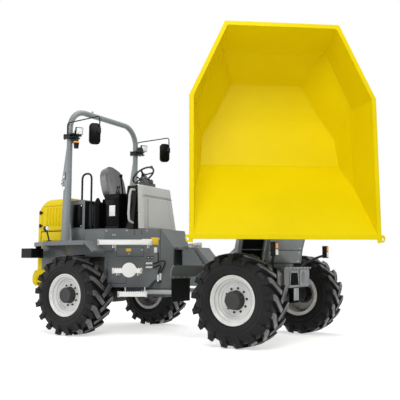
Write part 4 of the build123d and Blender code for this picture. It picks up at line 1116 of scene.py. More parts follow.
# ------------------------------------------------------------------ rear unit
@dataclass
class RearUnit(Assembly):
    """Rear frame, side housings, fenders, deck and steps."""

    # the seat's plinth on the deck, which is black
    plinth: tuple[Point, Point] = ((-1.332, -0.5, 1.45), (-0.9, 0.5, 1.9))
    # inner and outer side of each lens on the right-hand tail lamp
    tail_lenses: tuple[tuple[str, Finish, float, float], ...] = (("red", RED_LENS, -0.990, -0.925),
                                                                 ("amber", AMBER_LENS, -0.920, -0.865),
                                                                 ("clear", CLEAR_LENS, -0.860, -0.800))
    shelf_lens: Bar = Bar((-1.6845, -1.060, 1.452), (1, 0, 0.15), 0.031, 0.008, 32, 0.024)
    deck_closure: Block = Block((0.325, 0.004, 0.178), (-1.4575, -0.6925, 1.354), 0.001)
    deck_vent: Block = Block((0.190, 0.004, 0.330), (-1.470, -0.6922, 1.640), 0.001)
    vent_bolts: Bolts = Bolts(((-1.550, -0.6945, 1.495), (-1.550, -0.6945, 1.785), (-1.390, -0.6945, 1.495),
                               (-1.390, -0.6945, 1.785)), (0, -1, 0), 0.007)

    def build(self) -> None:
        """Dress the rear unit, with its lamps' lenses and the closures beside the deck."""
        self.dress(("rear_frame", CHASSIS_COAT, 3.0), ("side_bodies", CHASSIS_COAT, 3.0),
                   ("fenders", CHASSIS_COAT, 3.0))
        black = Accent(BLACK_POLYMER, *(self.datum.at(*corner) for corner in self.plinth))
        dressed_copy(self.frame, "operator_deck", CHASSIS_COAT, accents=(black,))
        self.dress(("steps", STEP_COAT, 1.5), ("axle_rear", CAST_COAT, 4.0), ("rear_lamps", BLACK_POLYMER, 2.0))
        for name, finish, low, high in self.tail_lenses:
            lens = Block((0.010, high - low, 0.105), (-2.243, (low + high) / 2, 1.1125), 0.004)
            self.both_sides(f"tail_lamp_{name}_lens", self.shaped(lens), finish)
        self.both_sides("shelf_lamp_lenses", self.shaped(self.shelf_lens), CLEAR_LENS)
        self.both_sides("deck_side_closures", self.shaped(self.deck_closure), CHASSIS_COAT)
        self.both_sides("deck_side_vents", self.shaped(self.deck_vent), GLOSS_POLYMER)
        self.both_sides("deck_side_bolts", self.shaped(self.vent_bolts), ZINC)


@dataclass
class SidePanels(Assembly):
    """What is fixed to the slanted side panels: step lips, bolts, seams, ports, plates and lines.

    Places on a panel are given along it from its rear corner, and in height.
    """

    rear_corner: Pair = (-0.940, -0.703)
    angle: float = 31.5
    # height of each tread, with its start and end along the panel
    treads: tuple[Point, ...] = ((1.249, -0.045, 0.677), (0.874, 0.153, 0.548), (0.567, 0.230, 0.617))
    tread_out: float = 0.330
    tooth_spacing: float = 0.030
    disc_along: float = 0.378
    bolt_spots: tuple[Pair, ...] = (
        (0.110, 1.354), (0.139, 1.354), (0.580, 1.416), (0.152, 1.148), (0.514, 1.148), (0.334, 1.096),
        (0.020, 1.412), (0.300, 1.416), (0.748, 0.930), (0.748, 1.300))
    rivet_spots: tuple[Pair, ...] = ((0.410, 1.399), (0.410, 1.370), (0.507, 1.399), (0.507, 1.370))
    level_seams: tuple[Point, ...] = ((0.160, 0.540, 1.060), (0.160, 0.540, 1.186), (0.040, 0.300, 0.690))
    upright_seams: tuple[Point, ...] = ((1.060, 1.186, 0.160), (1.060, 1.186, 0.540), (0.700, 1.428, 0.762),
                                        (0.690, 0.990, 0.040), (0.690, 0.860, 0.300))
    port_spots: tuple[Pair, ...] = ((0.604, 1.042), (0.652, 1.042))
    # blank plates: length, height, and the middle's place along the panel and height
    white_plates: tuple[tuple[float, ...], ...] = ((0.040, 0.072, 0.700, 1.146),)
    yellow_plates: tuple[tuple[float, ...], ...] = ((0.100, 0.098, 0.688, 1.270), (0.068, 0.040, 0.328, 1.146))
    # steering lines: along the panel, height and distance off it
    upper_line: tuple[Point, ...] = ((0.560, 0.963, 0.018), (0.700, 0.963, 0.022), (0.800, 1.000, 0.050),
                                     (0.845, 0.985, 0.060), (0.800, 0.880, 0.050), (0.775, 0.840, 0.030),
                                     (0.770, 0.700, 0.020))
    lower_line: tuple[Point, ...] = ((0.560, 0.910, 0.018), (0.690, 0.910, 0.022), (0.760, 0.935, 0.035),
                                     (0.780, 0.915, 0.035), (0.748, 0.860, 0.030), (0.740, 0.820, 0.022),
                                     (0.738, 0.700, 0.020))

    def _place(self, along: float, height: float, out: float = 0.0) -> Matrix:
        """Place on the right-hand panel: X along it, Y up and Z outward.

        Args:
            along: distance from its rear corner.
            height: height above the ground.
            out: distance off the panel.

        Returns:
            The place.
        """
        turn = math.radians(self.angle)
        way = Vector((math.cos(turn), math.sin(turn), 0))
        outward = Vector((math.sin(turn), -math.cos(turn), 0))
        corner = self.datum.at(*self.rear_corner, height)
        return placed(corner + way * along + outward * out, way, UP)

    def _lips(self) -> None:
        """Folded front lips with a toothed upper edge on all treads, and the bracket end of the top one."""
        mesh, out = bmesh.new(), self.tread_out
        for height, start, end in self.treads:
            length, middle = end - start, (start + end) / 2
            bead_block(mesh, (length, 0.058, 0.006), self._place(middle, height - 0.012, out + 0.003), 0.0015)
            teeth = round(length / self.tooth_spacing)
            for index in range(teeth):
                along = start + (index + 0.5) * length / teeth
                bead_block(mesh, (0.017, 0.014, 0.022), self._place(along, height + 0.021, out - 0.008), 0.002)
            for along in (start + 0.012, end - 0.012):
                bead_block(mesh, (0.024, 0.074, 0.020), self._place(along, height - 0.010, out - 0.004), 0.003)
        height, _, end = self.treads[0]
        bead_block(mesh, (0.115, 0.074, 0.050), self._place(end - 0.075, height - 0.004, out - 0.022), 0.006)
        for index in range(4):
            place = self._place(end - 0.120 + index * 0.030, height - 0.004, out + 0.004)
            bead_block(mesh, (0.008, 0.078, 0.006), place, 0.002)
        self.both_sides("step_lips", mesh, STEP_COAT)

    def _disc(self) -> None:
        """Blank disc on the lip of the middle tread."""
        mesh = bmesh.new()
        place = self._place(self.disc_along, self.treads[1][0], self.tread_out + 0.006)
        add_disc(mesh, place.translation, outward_of(place), 0.096, 0.004, 56)
        ease(mesh, [e for e in mesh.edges if len(e.link_faces) == 2 and e.calc_face_angle(0) > 1.0], 0.0012)
        self.both_sides("blank_disc", mesh, BLANK_PLATE)

    def _fixings(self) -> None:
        """Bolt heads, dark rivets, panel seams, the upright slot handle and two round ports."""
        bolts, dark = bmesh.new(), bmesh.new()
        outward = outward_of(self._place(0, 0))
        hex_heads(bolts, [self._place(*spot).translation for spot in self.bolt_spots], outward, 0.0075)
        for spot in self.rivet_spots:
            add_disc(dark, self._place(*spot).translation, outward, 0.008, 0.003, 14)
        for start, end, height in self.level_seams:
            bead_block(dark, (end - start, 0.004, 0.002), self._place((start + end) / 2, height, 0.0008))
        for low, high, along in self.upright_seams:
            bead_block(dark, (0.004, high - low, 0.002), self._place(along, (low + high) / 2, 0.0008))
        bead_block(dark, (0.014, 0.150, 0.008), self._place(0.738, 1.040, 0.004), 0.003)
        for port in self.port_spots:
            spot = self._place(*port).translation
            add_disc(dark, spot, outward, 0.021, 0.006, 28)
            add_disc(bolts, spot, outward, 0.010, 0.008, 20)
        self.both_sides("panel_bolts", bolts, ZINC)
        self.both_sides("panel_seams", dark, DARK_VOID)

    def _plates(self) -> None:
        """Blank plates where the machine carries its labels."""
        for name, finish, plates in (("blank_plate_white", BLANK_PLATE, self.white_plates),
                                     ("blank_plates_yellow", BLANK_YELLOW, self.yellow_plates)):
            mesh = bmesh.new()
            for length, height, *spot in plates:
                bead_block(mesh, (length, height, 0.003), self._place(*spot, 0.0015), 0.001)
            new_piece(name, mesh, finish, Body.REAR)

    def _lines(self) -> None:
        """Rigid hydraulic lines with pale sleeves, clipped to the front of the right-hand panel."""
        sleeves = bmesh.new()
        for name, route in (("upper", self.upper_line), ("lower", self.lower_line)):
            points = [self._place(*point).translation for point in route]
            bent_bar(f"steer_line_{name}", points, 0.0095, BLACK_COAT, Body.REAR, 0.035)
            for first, last in ((points[0], points[1]), (points[-2], points[-1])):
                way = (last - first).normalized()
                add_disc(sleeves, first + way * 0.010, way, 0.0135, min(0.092, (last - first).length - 0.02), 22)
        new_piece("line_sleeves", sleeves, BRIGHT_SLEEVE, Body.REAR)

    def build(self) -> None:
        """Build everything on the two panels."""
        self._lips()
        self._disc()
        self._fixings()
        self._plates()
        self._lines()


@dataclass
class Hood(Assembly):
    """Engine hood with its side doors, engine and rear bumper."""

    guard: Block = Block((0.470, 0.003, 0.352), (-1.882, -0.7238, 1.052), 0.001)
    seams: tuple[Block, ...] = (Block((0.505, 0.003, 0.010), (-1.8975, -0.7232, 1.432)),
                                Block((0.410, 0.003, 0.003), (-1.895, -0.7232, 1.300)),
                                Block((0.007, 0.003, 0.175), (-2.150, -0.7232, 1.345)))
    # a raised grip and its strap for each latch
    latches: tuple[Block, ...] = (Block((0.034, 0.022, 0.052), (-2.166, -0.732, 1.520), 0.005),
                                  Block((0.062, 0.008, 0.022), (-2.150, -0.727, 1.520), 0.003),
                                  Block((0.034, 0.022, 0.052), (-2.166, -0.732, 1.715), 0.005),
                                  Block((0.062, 0.008, 0.022), (-2.150, -0.727, 1.715), 0.003))
    ribs: int = 7
    rib_spacing: float = 0.060
    # middle of the rearmost rib on the left-hand door
    first_rib: Point = (-2.048, 0.723, 1.640)

    def _pressings(self) -> None:
        """Raised rounded ribs between the grooves of both hood doors."""
        x, y, z = self.first_rib
        for side in Side:
            row = [Block((0.022, 0.010, 0.262), (x + index * self.rib_spacing, side.value * y, z), 0.0045)
                   for index in range(self.ribs)]
            new_piece(f"door_ribs_{side.label}", self.shaped(*row), HOOD_ENAMEL, Body[f"DOOR_{side.name}"])

    def build(self) -> None:
        """Dress the hood, with its inner guards, seam lines and latches on both sides."""
        self.both_sides("wheel_guards", self.shaped(self.guard), CHASSIS_COAT)
        self.both_sides("hood_seams", self.shaped(*self.seams), DARK_VOID)
        self.both_sides("hood_latches", self.shaped(*self.latches), BLACK_POLYMER)
        self._pressings()
        self.dress(("engine_hood", HOOD_ENAMEL, 3.0), ("hood_door_left", HOOD_ENAMEL, 2.0),
                   ("hood_door_right", HOOD_ENAMEL, 2.0), ("rear_bumper", HOOD_ENAMEL, 8.0),
                   ("engine_block", BLACK_POLYMER, 6.0))


# ------------------------------------------------------------------ operator's place
@dataclass
class OperatorPlace(Assembly):
    """Seat, control box, console, steering wheel, rails and canister."""

    back_size: Point = (0.085, 0.440, 0.560)
    back_lean: float = -15.0
    cushion_size: Point = (0.410, 0.470, 0.110)
    seat_cuts: int = 9
    control_boxes: tuple[Block, ...] = (Block((0.300, 0.006, 0.380), (-0.955, -0.5635, 1.680), 0.010),
                                        Block((0.210, 0.100, 0.040), (-0.930, -0.445, 1.925), 0.014),
                                        Block((0.006, 0.190, 0.340), (-0.8115, -0.445, 1.670), 0.010),
                                        Block((0.500, 0.008, 0.430), (-1.060, -0.2450, 1.663), 0.012))
    control_plate: Block = Block((0.105, 0.003, 0.150), (-0.930, -0.5685, 1.700), 0.0012)
    # foot of each lever's boot, and the boot's radius
    levers: tuple[tuple[float, ...], ...] = ((-0.900, -0.470, 1.945, 0.024), (-0.960, -0.440, 1.945, 0.020))
    knobs: tuple[Bar, ...] = (
        *(Bar((-1.060 + 0.040 * index, -0.5665, 1.540 + 0.030 * (index % 3)), (0, -1, 0), 0.007, 0.006, 14)
          for index in range(6)),
        *(Bar((-0.8085, -0.390, height), (1, 0, 0), 0.012, 0.008, 18) for height in (1.560, 1.610, 1.735, 1.790)))
    wheel_radius: float = 0.172
    wheel_grip: float = 0.0135
    wheel_tilt: float = 38.0
    wheel_centre: Point = (-0.818, 0.0, 2.268)
    spoke_turns: tuple[float, ...] = (60, 180, 300)
    knob_turn: float = 40
    pod_box: Block = Block((0.150, 0.230, 0.075), (-0.745, 0.0, 2.106), 0.018)
    pod_visor: Block = Block((0.120, 0.010, 0.060), (-0.700, 0.0, 2.150), 0.004)
    switch_spots: tuple[float, ...] = (-0.050, 0.0, 0.050)
    console_face: tuple[Point, Point] = ((-0.500, -0.400, 1.4453), (-0.570, -0.337, 2.054))
    console_skin: float = 0.045
    # (across, up) corners on the console's face, and how far each stands out
    mouldings: tuple[tuple[tuple[Pair, ...], float], ...] = (
        (((0.110, 0.020), (0.690, 0.020), (0.640, 0.440), (0.160, 0.440)), 0.006),
        (((0.062, 0.485), (0.738, 0.485), (0.728, 0.585), (0.072, 0.585)), 0.010))
    shut_lines: tuple[tuple[Pair, ...], ...] = (((0.030, 0.462), (0.770, 0.462), (0.769, 0.467), (0.031, 0.467)),
                                                ((0.102, 0.020), (0.107, 0.020), (0.157, 0.446), (0.152, 0.446)),
                                                ((0.693, 0.020), (0.698, 0.020), (0.648, 0.446), (0.643, 0.446)))
    # centre lines on the left-hand side; the left handle itself sits further to the rear
    handle: tuple[Point, ...] = ((-0.640, 0.440, 1.990), (-0.640, 0.520, 1.990), (-0.630, 0.560, 1.900),
                                 (-0.615, 0.600, 1.650), (-0.605, 0.600, 1.545), (-0.605, 0.515, 1.520))
    left_handle_shift: float = 0.140
    rail: tuple[Point, ...] = ((-1.245, 0.655, 1.4453), (-1.245, 0.655, 2.245), (-1.420, 0.655, 2.245),
                               (-1.420, 0.655, 1.868))

    def _back(self, mesh: Mesh) -> None:
        """Tall back: a rounded slab that leans to the rear, with a hollowed face.

        Args:
            mesh: the seat, still empty.
        """
        made = bmesh.ops.create_cube(mesh, size=1.0)["verts"]
        bmesh.ops.scale(mesh, verts=made, vec=self.back_size)
        bmesh.ops.subdivide_edges(mesh, edges=mesh.edges[:], cuts=self.seat_cuts, use_grid_fill=True)
        _, half_width, half_height = (length / 2 for length in self.back_size)
        for vert in mesh.verts:
            side, lift = vert.co.y / half_width, vert.co.z / half_height
            # rounder above than below
            power = 2.1 if lift > 0 else 3.6
            reach = (abs(side) ** power + abs(lift) ** power) ** (1 / power)
            square = max(abs(side), abs(lift))
            if reach > 0:
                shrink = 1.0 + (square / reach - 1.0) * min(1.0, square * 1.1)
                vert.co.y *= shrink
                vert.co.z *= shrink
            dish = max(0.0, 1.0 - side ** 2) * max(0.0, 1.0 - lift ** 4)
            vert.co.x += (-0.030 * dish + 0.028 * abs(side) ** 2.5) if vert.co.x > 0 else 0.012 * dish - 0.010
        lean = Matrix.Rotation(math.radians(self.back_lean), 4, "Y")
        bmesh.ops.transform(mesh, matrix=self.datum.place(-1.392, -0.020, 2.165) @ lean, verts=mesh.verts)

    def _cushion(self, mesh: Mesh) -> None:
        """Cushion, crowned in its middle with raised sides.

        Args:
            mesh: the seat, which has its back.
        """
        made = bmesh.ops.create_cube(mesh, size=1.0)["verts"]
        bmesh.ops.scale(mesh, verts=made, vec=self.cushion_size)
        edges = list({e for v in made for e in v.link_edges})
        split = bmesh.ops.subdivide_edges(mesh, edges=edges, cuts=self.seat_cuts, use_grid_fill=True)
        block = island(made + [g for g in split["geom_inner"] if isinstance(g, bmesh.types.BMVert)])
        half_length, half_width, _ = (length / 2 for length in self.cushion_size)
        for vert in block:
            side, along = vert.co.y / half_width, vert.co.x / half_length
            if vert.co.z > 0:
                vert.co.z += 0.016 * abs(side) ** 2.5 - 0.014 * max(0.0, 1 - side ** 2) * max(0.0, 1 - along ** 2)
            reach = (abs(side) ** 4 + abs(along) ** 4) ** 0.25
            shrink = 1.0 - 0.16 * max(0.0, reach - 0.85)
            vert.co.x *= shrink
            vert.co.y *= shrink
        bmesh.ops.translate(mesh, verts=block, vec=self.datum.at(-1.110, 0.0, 1.898))

    def _seat(self) -> None:
        """Padded bucket seat on its black frame."""
        mesh = bmesh.new()
        self._back(mesh)
        self._cushion(mesh)
        seat = new_piece("seat_bucket", mesh, SEAT_VINYL, Body.REAR, 180.0, replaces=["seat"])
        rounding = seat.modifiers.new("rounding", "SUBSURF")
        rounding.levels = 2
        rounding.render_levels = 2
        mesh = self.shaped(Block((0.150, 0.300, 0.045), (-1.400, 0.0, 1.893), 0.006))
        upright = self.datum.place(-1.452, 0.0, 2.020) @ Matrix.Rotation(math.radians(-14.0), 4, "Y")
        bead_block(mesh, (0.040, 0.220, 0.240), upright, 0.010)
        Block((0.380, 0.400, 0.020), (-1.110, 0.0, 1.852), 0.004).add(mesh, self.datum)
        new_piece("seat_frame", mesh, BLACK_POLYMER, Body.REAR)

    def _control_side(self) -> None:
        """Glossy control housing beside the seat, with its boots, levers, knobs and blank plate."""
        small = bmesh.new()
        for x, y, z, radius in self.levers:
            Bar((x, y, z), (0.05, 0, 1), radius, 0.045, 24, radius * 0.5).add(small, self.datum)
            Bar((x, y, z + 0.040), (0.15, 0, 1), 0.007, 0.060, 14).add(small, self.datum)
            add_ball(small, self.datum.place(x + 0.012, y, z + 0.105), 0.014, 16, 10)
        for knob in self.knobs:
            knob.add(small, self.datum)
        new_piece("control_housing", self.shaped(*self.control_boxes), GLOSS_POLYMER, Body.REAR)
        new_piece("control_levers", small, BLACK_POLYMER, Body.REAR)
        new_piece("blank_control_plate", self.shaped(self.control_plate), BLANK_PLATE, Body.REAR)

    def _steering_wheel(self, place: Matrix) -> None:
        """Steering wheel: round rim, three spokes, hub and spinner knob.

        Args:
            place: the wheel's middle, with its axis along Z.
        """
        turns = (math.tau * index / 14 for index in range(14))
        grip = [(self.wheel_grip * math.sin(a), self.wheel_radius + self.wheel_grip * math.cos(a)) for a in turns]
        mesh = spun(grip, (0, 0, 0), (0, 0, 1), (1, 0, 0), closed=True)
        for turn in self.spoke_turns:
            way = Vector((math.cos(math.radians(turn)), math.sin(math.radians(turn)), 0))
            spoke = placed(way * 0.098, way, Vector((-way.y, way.x, 0)))
            bead_block(mesh, (0.150, 0.030, 0.009), spoke, 0.003)
        add_disc(mesh, Vector((0, 0, -0.022)), UP, 0.040, 0.036, 36, 0.032)
        turn = math.radians(self.knob_turn)
        knob = Vector((math.cos(turn), math.sin(turn), 0)) * self.wheel_radius
        add_disc(mesh, knob, UP, 0.009, 0.045, 16)
        add_ball(mesh, Matrix.Translation(knob + Vector((0, 0, 0.062))), 0.024, 24, 14)
        bmesh.ops.transform(mesh, matrix=place, verts=mesh.verts)
        new_piece("steering_wheel_moulded", mesh, GRIP_RUBBER, Body.REAR, replaces=["steering_wheel"])

    def _steering(self) -> None:
        """Steering wheel on its pod, with two stalks and three switches."""
        tilt = Matrix.Rotation(-math.radians(self.wheel_tilt), 4, "Y")
        place = self.datum.place(*self.wheel_centre) @ tilt
        self._steering_wheel(place)
        pod = self.shaped(self.pod_box)
        neck = placed(self.datum.at(-0.775, 0.0, 2.168), LEFTWARD, Vector((-0.62, 0, 0.79)))
        bead_block(pod, (0.190, 0.120, 0.090), neck, 0.022)
        self.pod_visor.add(pod, self.datum)
        down = place.to_3x3() @ Vector((0, 0, -1))
        add_disc(pod, place.translation + down * 0.020, down, 0.030, 0.090, 28, 0.040)
        new_piece("steering_pod", pod, POD_COAT, Body.REAR, replaces=["steering_column"])
        stalk = bmesh.new()
        for side in Side:
            root = self.datum.at(-0.775, side.value * 0.075, 2.180)
            way = Vector((-0.25, side.value, 0.35)).normalized()
            add_disc(stalk, root, way, 0.007, 0.085, 12)
            add_disc(stalk, root + way * 0.085, way, 0.013, 0.030, 16, 0.010)
        for y in self.switch_spots:
            add_disc(stalk, neck @ Vector((y, 0.010, 0.046)), outward_of(neck), 0.014, 0.006, 20)
        new_piece("steering_switches", stalk, BLACK_POLYMER, Body.REAR)

    def _console(self) -> None:
        """Mouldings on the console: raised front panel, top band and shut lines."""
        low, high = (self.datum.at(*point) for point in self.console_face)
        place = placed(low, LEFTWARD, Vector((high.x - low.x, 0, high.z - low.z)))
        band, seam = bmesh.new(), bmesh.new()
        for outline, depth in self.mouldings:
            flat_plate(band, outline, depth, place)
        for outline in self.shut_lines:
            flat_plate(seam, outline, 0.0012, place)
        new_piece("console_mouldings", band, CONSOLE_PAINT, Body.REAR, bevel_mm=4.0)
        new_piece("console_shut_lines", seam, POD_COAT, Body.REAR)

    def _console_shell(self) -> None:
        """The console's housing: a pale moulding in front of a black one."""
        mesh = merged_copy(self.frame["nodes"]["front_console"])
        low, high = (self.datum.at(x, 0, z) for x, _, z in self.console_face)
        rise = (high - low).normalized()
        forward = Vector((rise.z, 0, -rise.x))
        split = low - forward * self.console_skin
        bmesh.ops.bisect_plane(mesh, geom=mesh.verts[:] + mesh.edges[:] + mesh.faces[:], dist=1e-5, plane_co=split,
                               plane_no=forward)
        for face in mesh.faces:
            behind = (face.calc_center_median() - split).dot(forward) < 0
            face.material_index = 1 if behind and face.normal.z < 0.7 else 0
        piece = new_piece("front_console_dressed", mesh, CONSOLE_PAINT, Body.REAR, 30.0, 14.0, ["front_console"])
        piece.data.materials.append(GLOSS_POLYMER.material())

    def _handles(self) -> None:
        """Closed grab handles beside the console, and the grab rails beside the seat."""
        for side in Side:
            rear = self.left_handle_shift if side is Side.LEFT else 0.0
            points = [self.datum.at(x - rear, side.value * y, z) for x, y, z in self.handle]
            bent_bar(f"console_handle_{side.label}", points, 0.0165, HANDLE_COAT, Body.REAR, 0.045,
                     side.once("console_handles"))
            points = [self.datum.at(x, side.value * y, z) for x, y, z in self.rail]
            bent_bar(f"grab_rail_{side.label}", points, 0.0145, BLACK_COAT, Body.REAR, 0.085,
                     side.once("grab_rails"))

    def build(self) -> None:
        """Dress the operator's place."""
        self._seat()
        self._control_side()
        self._steering()
        self._console()
        self._handles()
        self.dress(("control_box", GLOSS_POLYMER, 5.0), ("canister", GLOSS_POLYMER, 3.0))
        self._console_shell()


# ------------------------------------------------------------------ roll hoop
@dataclass
class RollHoop(Assembly):
    """Folding roll hoop with its posts, clamps, work lamps and mirrors."""

    half: float = 0.775
    leg_x: float = -1.572
    clamp_z: float = 2.775
    mirror_centre: Point = (-1.030, 0.850, 2.762)
    mirror_way: Point = (0.70, 0.71, 0.0)
    mirror_size: Point = (0.160, 0.300, 0.052)
    lamp_way: Point = (0.80, -0.52, -0.22)
    # heights of the clamp's two plates above it, and its three pairs of bolts about the leg
    plate_lifts: Pair = (-0.010, 0.034)
    bolt_reaches: Point = (-0.050, 0.062, 0.118)
    bolt_shifts: Pair = (-0.052, 0.052)
    hinge_bolts: Bolts = Bolts(((-1.655, -0.818, 2.130), (-1.655, -0.818, 2.075), (-1.620, -0.818, 2.200)),
                               (0, -1, 0), 0.012)
    foot_bolts: Bolts = Bolts(((-1.680, -0.810, 1.2815), (-1.495, -0.810, 1.2815)), (0, 0, 1), 0.012)
    eye: Bar = Bar((-1.572, -0.300, 3.240), (0, 0, 1), 0.016, 0.030, 20, 0.012)

    def _mirror(self, side: Side) -> None:
        """Rounded mirror head on a bent arm, with its glass and ball mount.

        Args:
            side: side of the machine.
        """
        x, y, z = self.mirror_centre
        place = placed(self.datum.at(x, side.value * y, z), Vector(self.mirror_way), UP)
        head = bmesh.new()
        made = bmesh.ops.create_cube(head, size=1.0)["verts"]
        bmesh.ops.scale(head, verts=made, vec=self.mirror_size)
        ease(head, [e for e in head.edges if abs(e.verts[0].co.z - e.verts[1].co.z) > 0.04], 0.056, 8)
        ease(head, [e for e in head.edges if all(v.co.z > 0.02 for v in e.verts)], 0.022, 4)
        bmesh.ops.transform(head, matrix=place, verts=head.verts)
        new_piece(f"mirror_head_{side.label}", head, GLOSS_POLYMER, Body.HOOP, 40.0, replaces=side.once("mirrors"))
        glass = bmesh.new()
        bead_block(glass, (0.138, 0.278, 0.004), place @ Matrix.Translation((0, 0, -0.0275)), 0.0015)
        new_piece(f"mirror_glass_{side.label}", glass, MIRROR_FACE, Body.HOOP)
        mount = bmesh.new()
        add_ball(mount, place @ Matrix.Translation((0.045, 0.030, 0.036)), 0.026, 20, 12)
        bead_block(mount, (0.050, 0.085, 0.026), place @ Matrix.Translation((0.058, 0.038, 0.040)), 0.008)
        new_piece(f"mirror_mount_{side.label}", mount, BLACK_POLYMER, Body.HOOP)
        rod_y = side.value * (self.half + 0.051)
        rod_top = place @ Vector((0.062, 0.075, 0.042))
        points = [self.datum.at(self.leg_x, rod_y, self.clamp_z + 0.025), self.datum.at(self.leg_x, rod_y, 2.985),
                  Vector((rod_top.x, rod_top.y, 3.005)), rod_top]
        bent_bar(f"mirror_arm_{side.label}", points, 0.0085, BLACK_COAT, Body.HOOP, 0.045)

    def _lamps(self) -> None:
        """Square work lamps with clear glass, U-bolt clamps and the amber beacon."""
        glass, body, band = bmesh.new(), bmesh.new(), bmesh.new()
        way = Vector(self.lamp_way).normalized()
        across = UP.cross(way)
        for side in Side:
            leg_y = side.value * self.half
            spot = self.datum.at(self.leg_x + 0.150, leg_y + 0.030, self.clamp_z + 0.090)
            square = placed(spot, across, way.cross(across))
            bead_block(body, (0.108, 0.108, 0.062), square, 0.012)
            bead_block(glass, (0.088, 0.088, 0.008), square @ Matrix.Translation((0, 0, 0.033)), 0.004)
            for lift in self.plate_lifts:
                clamp = self.datum.place(self.leg_x + 0.040, leg_y, self.clamp_z + lift)
                bead_block(body, (0.195, 0.150, 0.018), clamp, 0.004)
            for reach in self.bolt_reaches:
                for shift in self.bolt_shifts:
                    foot = self.datum.at(self.leg_x + reach, leg_y + shift, self.clamp_z - 0.034)
                    add_disc(body, foot, UP, 0.008, 0.088, 12)
        beacon = self.datum.at(self.leg_x + 0.125, -self.half + 0.005, self.clamp_z - 0.165)
        add_disc(body, beacon, UP, 0.032, 0.078, 32, 0.040)
        add_disc(band, beacon + Vector((0, 0, 0.078)), UP, 0.041, 0.020, 32)
        add_disc(body, beacon + Vector((0, 0, 0.098)), UP, 0.034, 0.070, 24, 0.022)
        new_piece("work_lamp_housings", body, BLACK_POLYMER, Body.HOOP)
        new_piece("work_lamp_glass", glass, CLEAR_LENS, Body.HOOP)
        new_piece("beacon_band", band, AMBER_LENS, Body.HOOP)

    def build(self) -> None:
        """Dress the hoop, with the bolts of its hinge and feet and the eye on its top."""
        for side in Side:
            self._mirror(side)
        self._lamps()
        self.both_sides("post_bolts", self.shaped(self.hinge_bolts, self.foot_bolts), ZINC)
        # eye, posts and hoop in the lighter hoop grey: painted light
        new_piece("hoop_eye", self.shaped(self.eye), HOOP_GREY_PAINTED_LIT, Body.HOOP)
        self.dress(("rops_posts", HOOP_GREY_PAINTED_LIT, 2.0), ("rops_hoop", HOOP_GREY_PAINTED_LIT, 1.5), ("hoop_clamps", BLACK_COAT, 2.0))


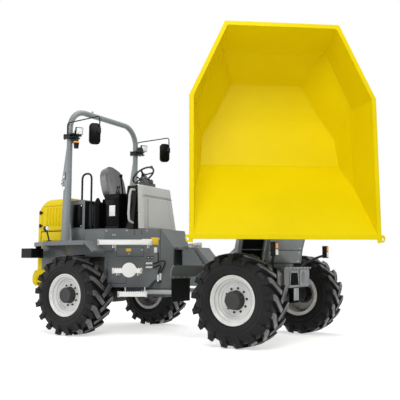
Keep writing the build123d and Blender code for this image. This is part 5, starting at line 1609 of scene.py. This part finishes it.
# ------------------------------------------------------------------ stage
@dataclass
class Studio:
    """Pale floor, soft lights and the camera."""

    datum: Datum
    azimuth: float = 31.6
    tilt: float = 6.3
    stand: Point = (4.608, -7.216, 0.906)
    lens: float = 55.08
    reach: float = 60.0
    floor_lift: float = 0.55
    sky_strength: float = 0.55
    # a large soft key from above and in front, and weaker fills: place, power and size
    softboxes: tuple[tuple[str, Point, float, float], ...] = (("key_softbox", (3.5, -5.5, 6.5), 300.0, 4.0),
                                                              ("fill_softbox", (-6.0, -4.5, 3.5), 90.0, 4.0),
                                                              ("top_softbox", (0.0, 1.0, 8.0), 190.0, 6.0))
    aim: Point = (0.2, 0.0, 1.2)

    def build(self) -> None:
        """Build floor, world, lights and camera."""
        self._floor()
        self._world()
        self._lights()
        self._camera()

    @staticmethod
    def _seen(tree: bpy.types.NodeTree) -> bpy.types.NodeSocket:
        """Tell camera and glossy rays from the rest.

        Args:
            tree: the node tree that asks.

        Returns:
            1 for a camera or glossy ray, and 0 for any other.
        """
        paths = add_node(tree, "ShaderNodeLightPath")
        return add_node(tree, "ShaderNodeMath", {"operation": "MAXIMUM"},
                        {0: paths.outputs["Is Camera Ray"], 1: paths.outputs["Is Glossy Ray"]}).outputs[0]

    def _floor(self) -> None:
        """A wide pale floor that shows white to the camera and keeps the shadow."""
        mesh = bmesh.new()
        bmesh.ops.create_grid(mesh, x_segments=1, y_segments=1, size=self.reach)
        data = bpy.data.meshes.new("studio_floor")
        mesh.to_mesh(data)
        mesh.free()
        material = bpy.data.materials.new("studio_pale_floor")
        tree = fresh_tree(material)
        shader = add_node(tree, "ShaderNodeBsdfPrincipled",
                          {"Base Color": linear("#F4F4F4"), "Roughness": 0.9, "Specular IOR Level": 0.0})
        lift = add_node(tree, "ShaderNodeMath", {"operation": "MULTIPLY", 1: self.floor_lift}, {0: self._seen(tree)})
        glow = add_node(tree, "ShaderNodeEmission", {"Color": linear("#FFFFFF")}, {"Strength": lift.outputs[0]})
        both = add_node(tree, "ShaderNodeAddShader", {}, {0: shader.outputs["BSDF"], 1: glow.outputs[0]})
        add_node(tree, "ShaderNodeOutputMaterial", {}, {"Surface": both.outputs[0]})
        data.materials.append(material)
        floor = bpy.data.objects.new("studio_floor", data)
        bpy.context.scene.collection.objects.link(floor)

    def _world(self) -> None:
        """Even sky light; camera and glossy rays see plain white."""
        world = bpy.data.worlds.new("studio_sky")
        bpy.context.scene.world = world
        tree = fresh_tree(world)
        sky, white = (add_node(tree, "ShaderNodeBackground", {"Color": linear("#FFFFFF"), "Strength": strength})
                      for strength in (self.sky_strength, 1.0))
        mix = add_node(tree, "ShaderNodeMixShader", {},
                       {0: self._seen(tree), 1: sky.outputs[0], 2: white.outputs[0]})
        add_node(tree, "ShaderNodeOutputWorld", {}, {"Surface": mix.outputs[0]})

    def _lights(self) -> None:
        """Soft lights, all aimed at the machine's middle."""
        for name, place, energy, size in self.softboxes:
            lamp = bpy.data.lights.new(name, "AREA")
            lamp.energy = energy
            lamp.size = size
            holder = bpy.data.objects.new(name, lamp)
            holder.location = self.datum.at(*place)
            aim = self.datum.at(*self.aim) - holder.location
            holder.rotation_euler = aim.to_track_quat("-Z", "Y").to_euler()
            bpy.context.scene.collection.objects.link(holder)

    def _camera(self) -> None:
        """Camera at the catalogue view's height and angle."""
        camera = bpy.data.cameras.new("camera")
        camera.lens = self.lens
        camera.sensor_width = 36.0
        camera.clip_end = 200.0
        holder = bpy.data.objects.new("camera", camera)
        holder.location = self.datum.at(*self.stand)
        holder.rotation_euler = Euler((math.radians(90 + self.tilt), 0, math.radians(self.azimuth)))
        bpy.context.scene.collection.objects.link(holder)
        bpy.context.scene.camera = holder


def main() -> None:
    """Load the frame, build every sub-assembly in order and set the stage."""
    logging.basicConfig(level=logging.INFO, format="%(message)s")
    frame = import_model()
    bpy.context.scene.view_settings.view_transform = "Standard"
    datum = Datum.from_wheels()
    for axle_end in ("front", "rear"):
        for side in Side:
            Wheel(axle_end, side).build()
    for assembly in (Skip, TippingGear, FrontUnit, RearUnit, SidePanels, Hood, OperatorPlace, RollHoop):
        assembly(frame, datum).build()
    Studio(datum).build()


if __name__ == "__main__":
    main()
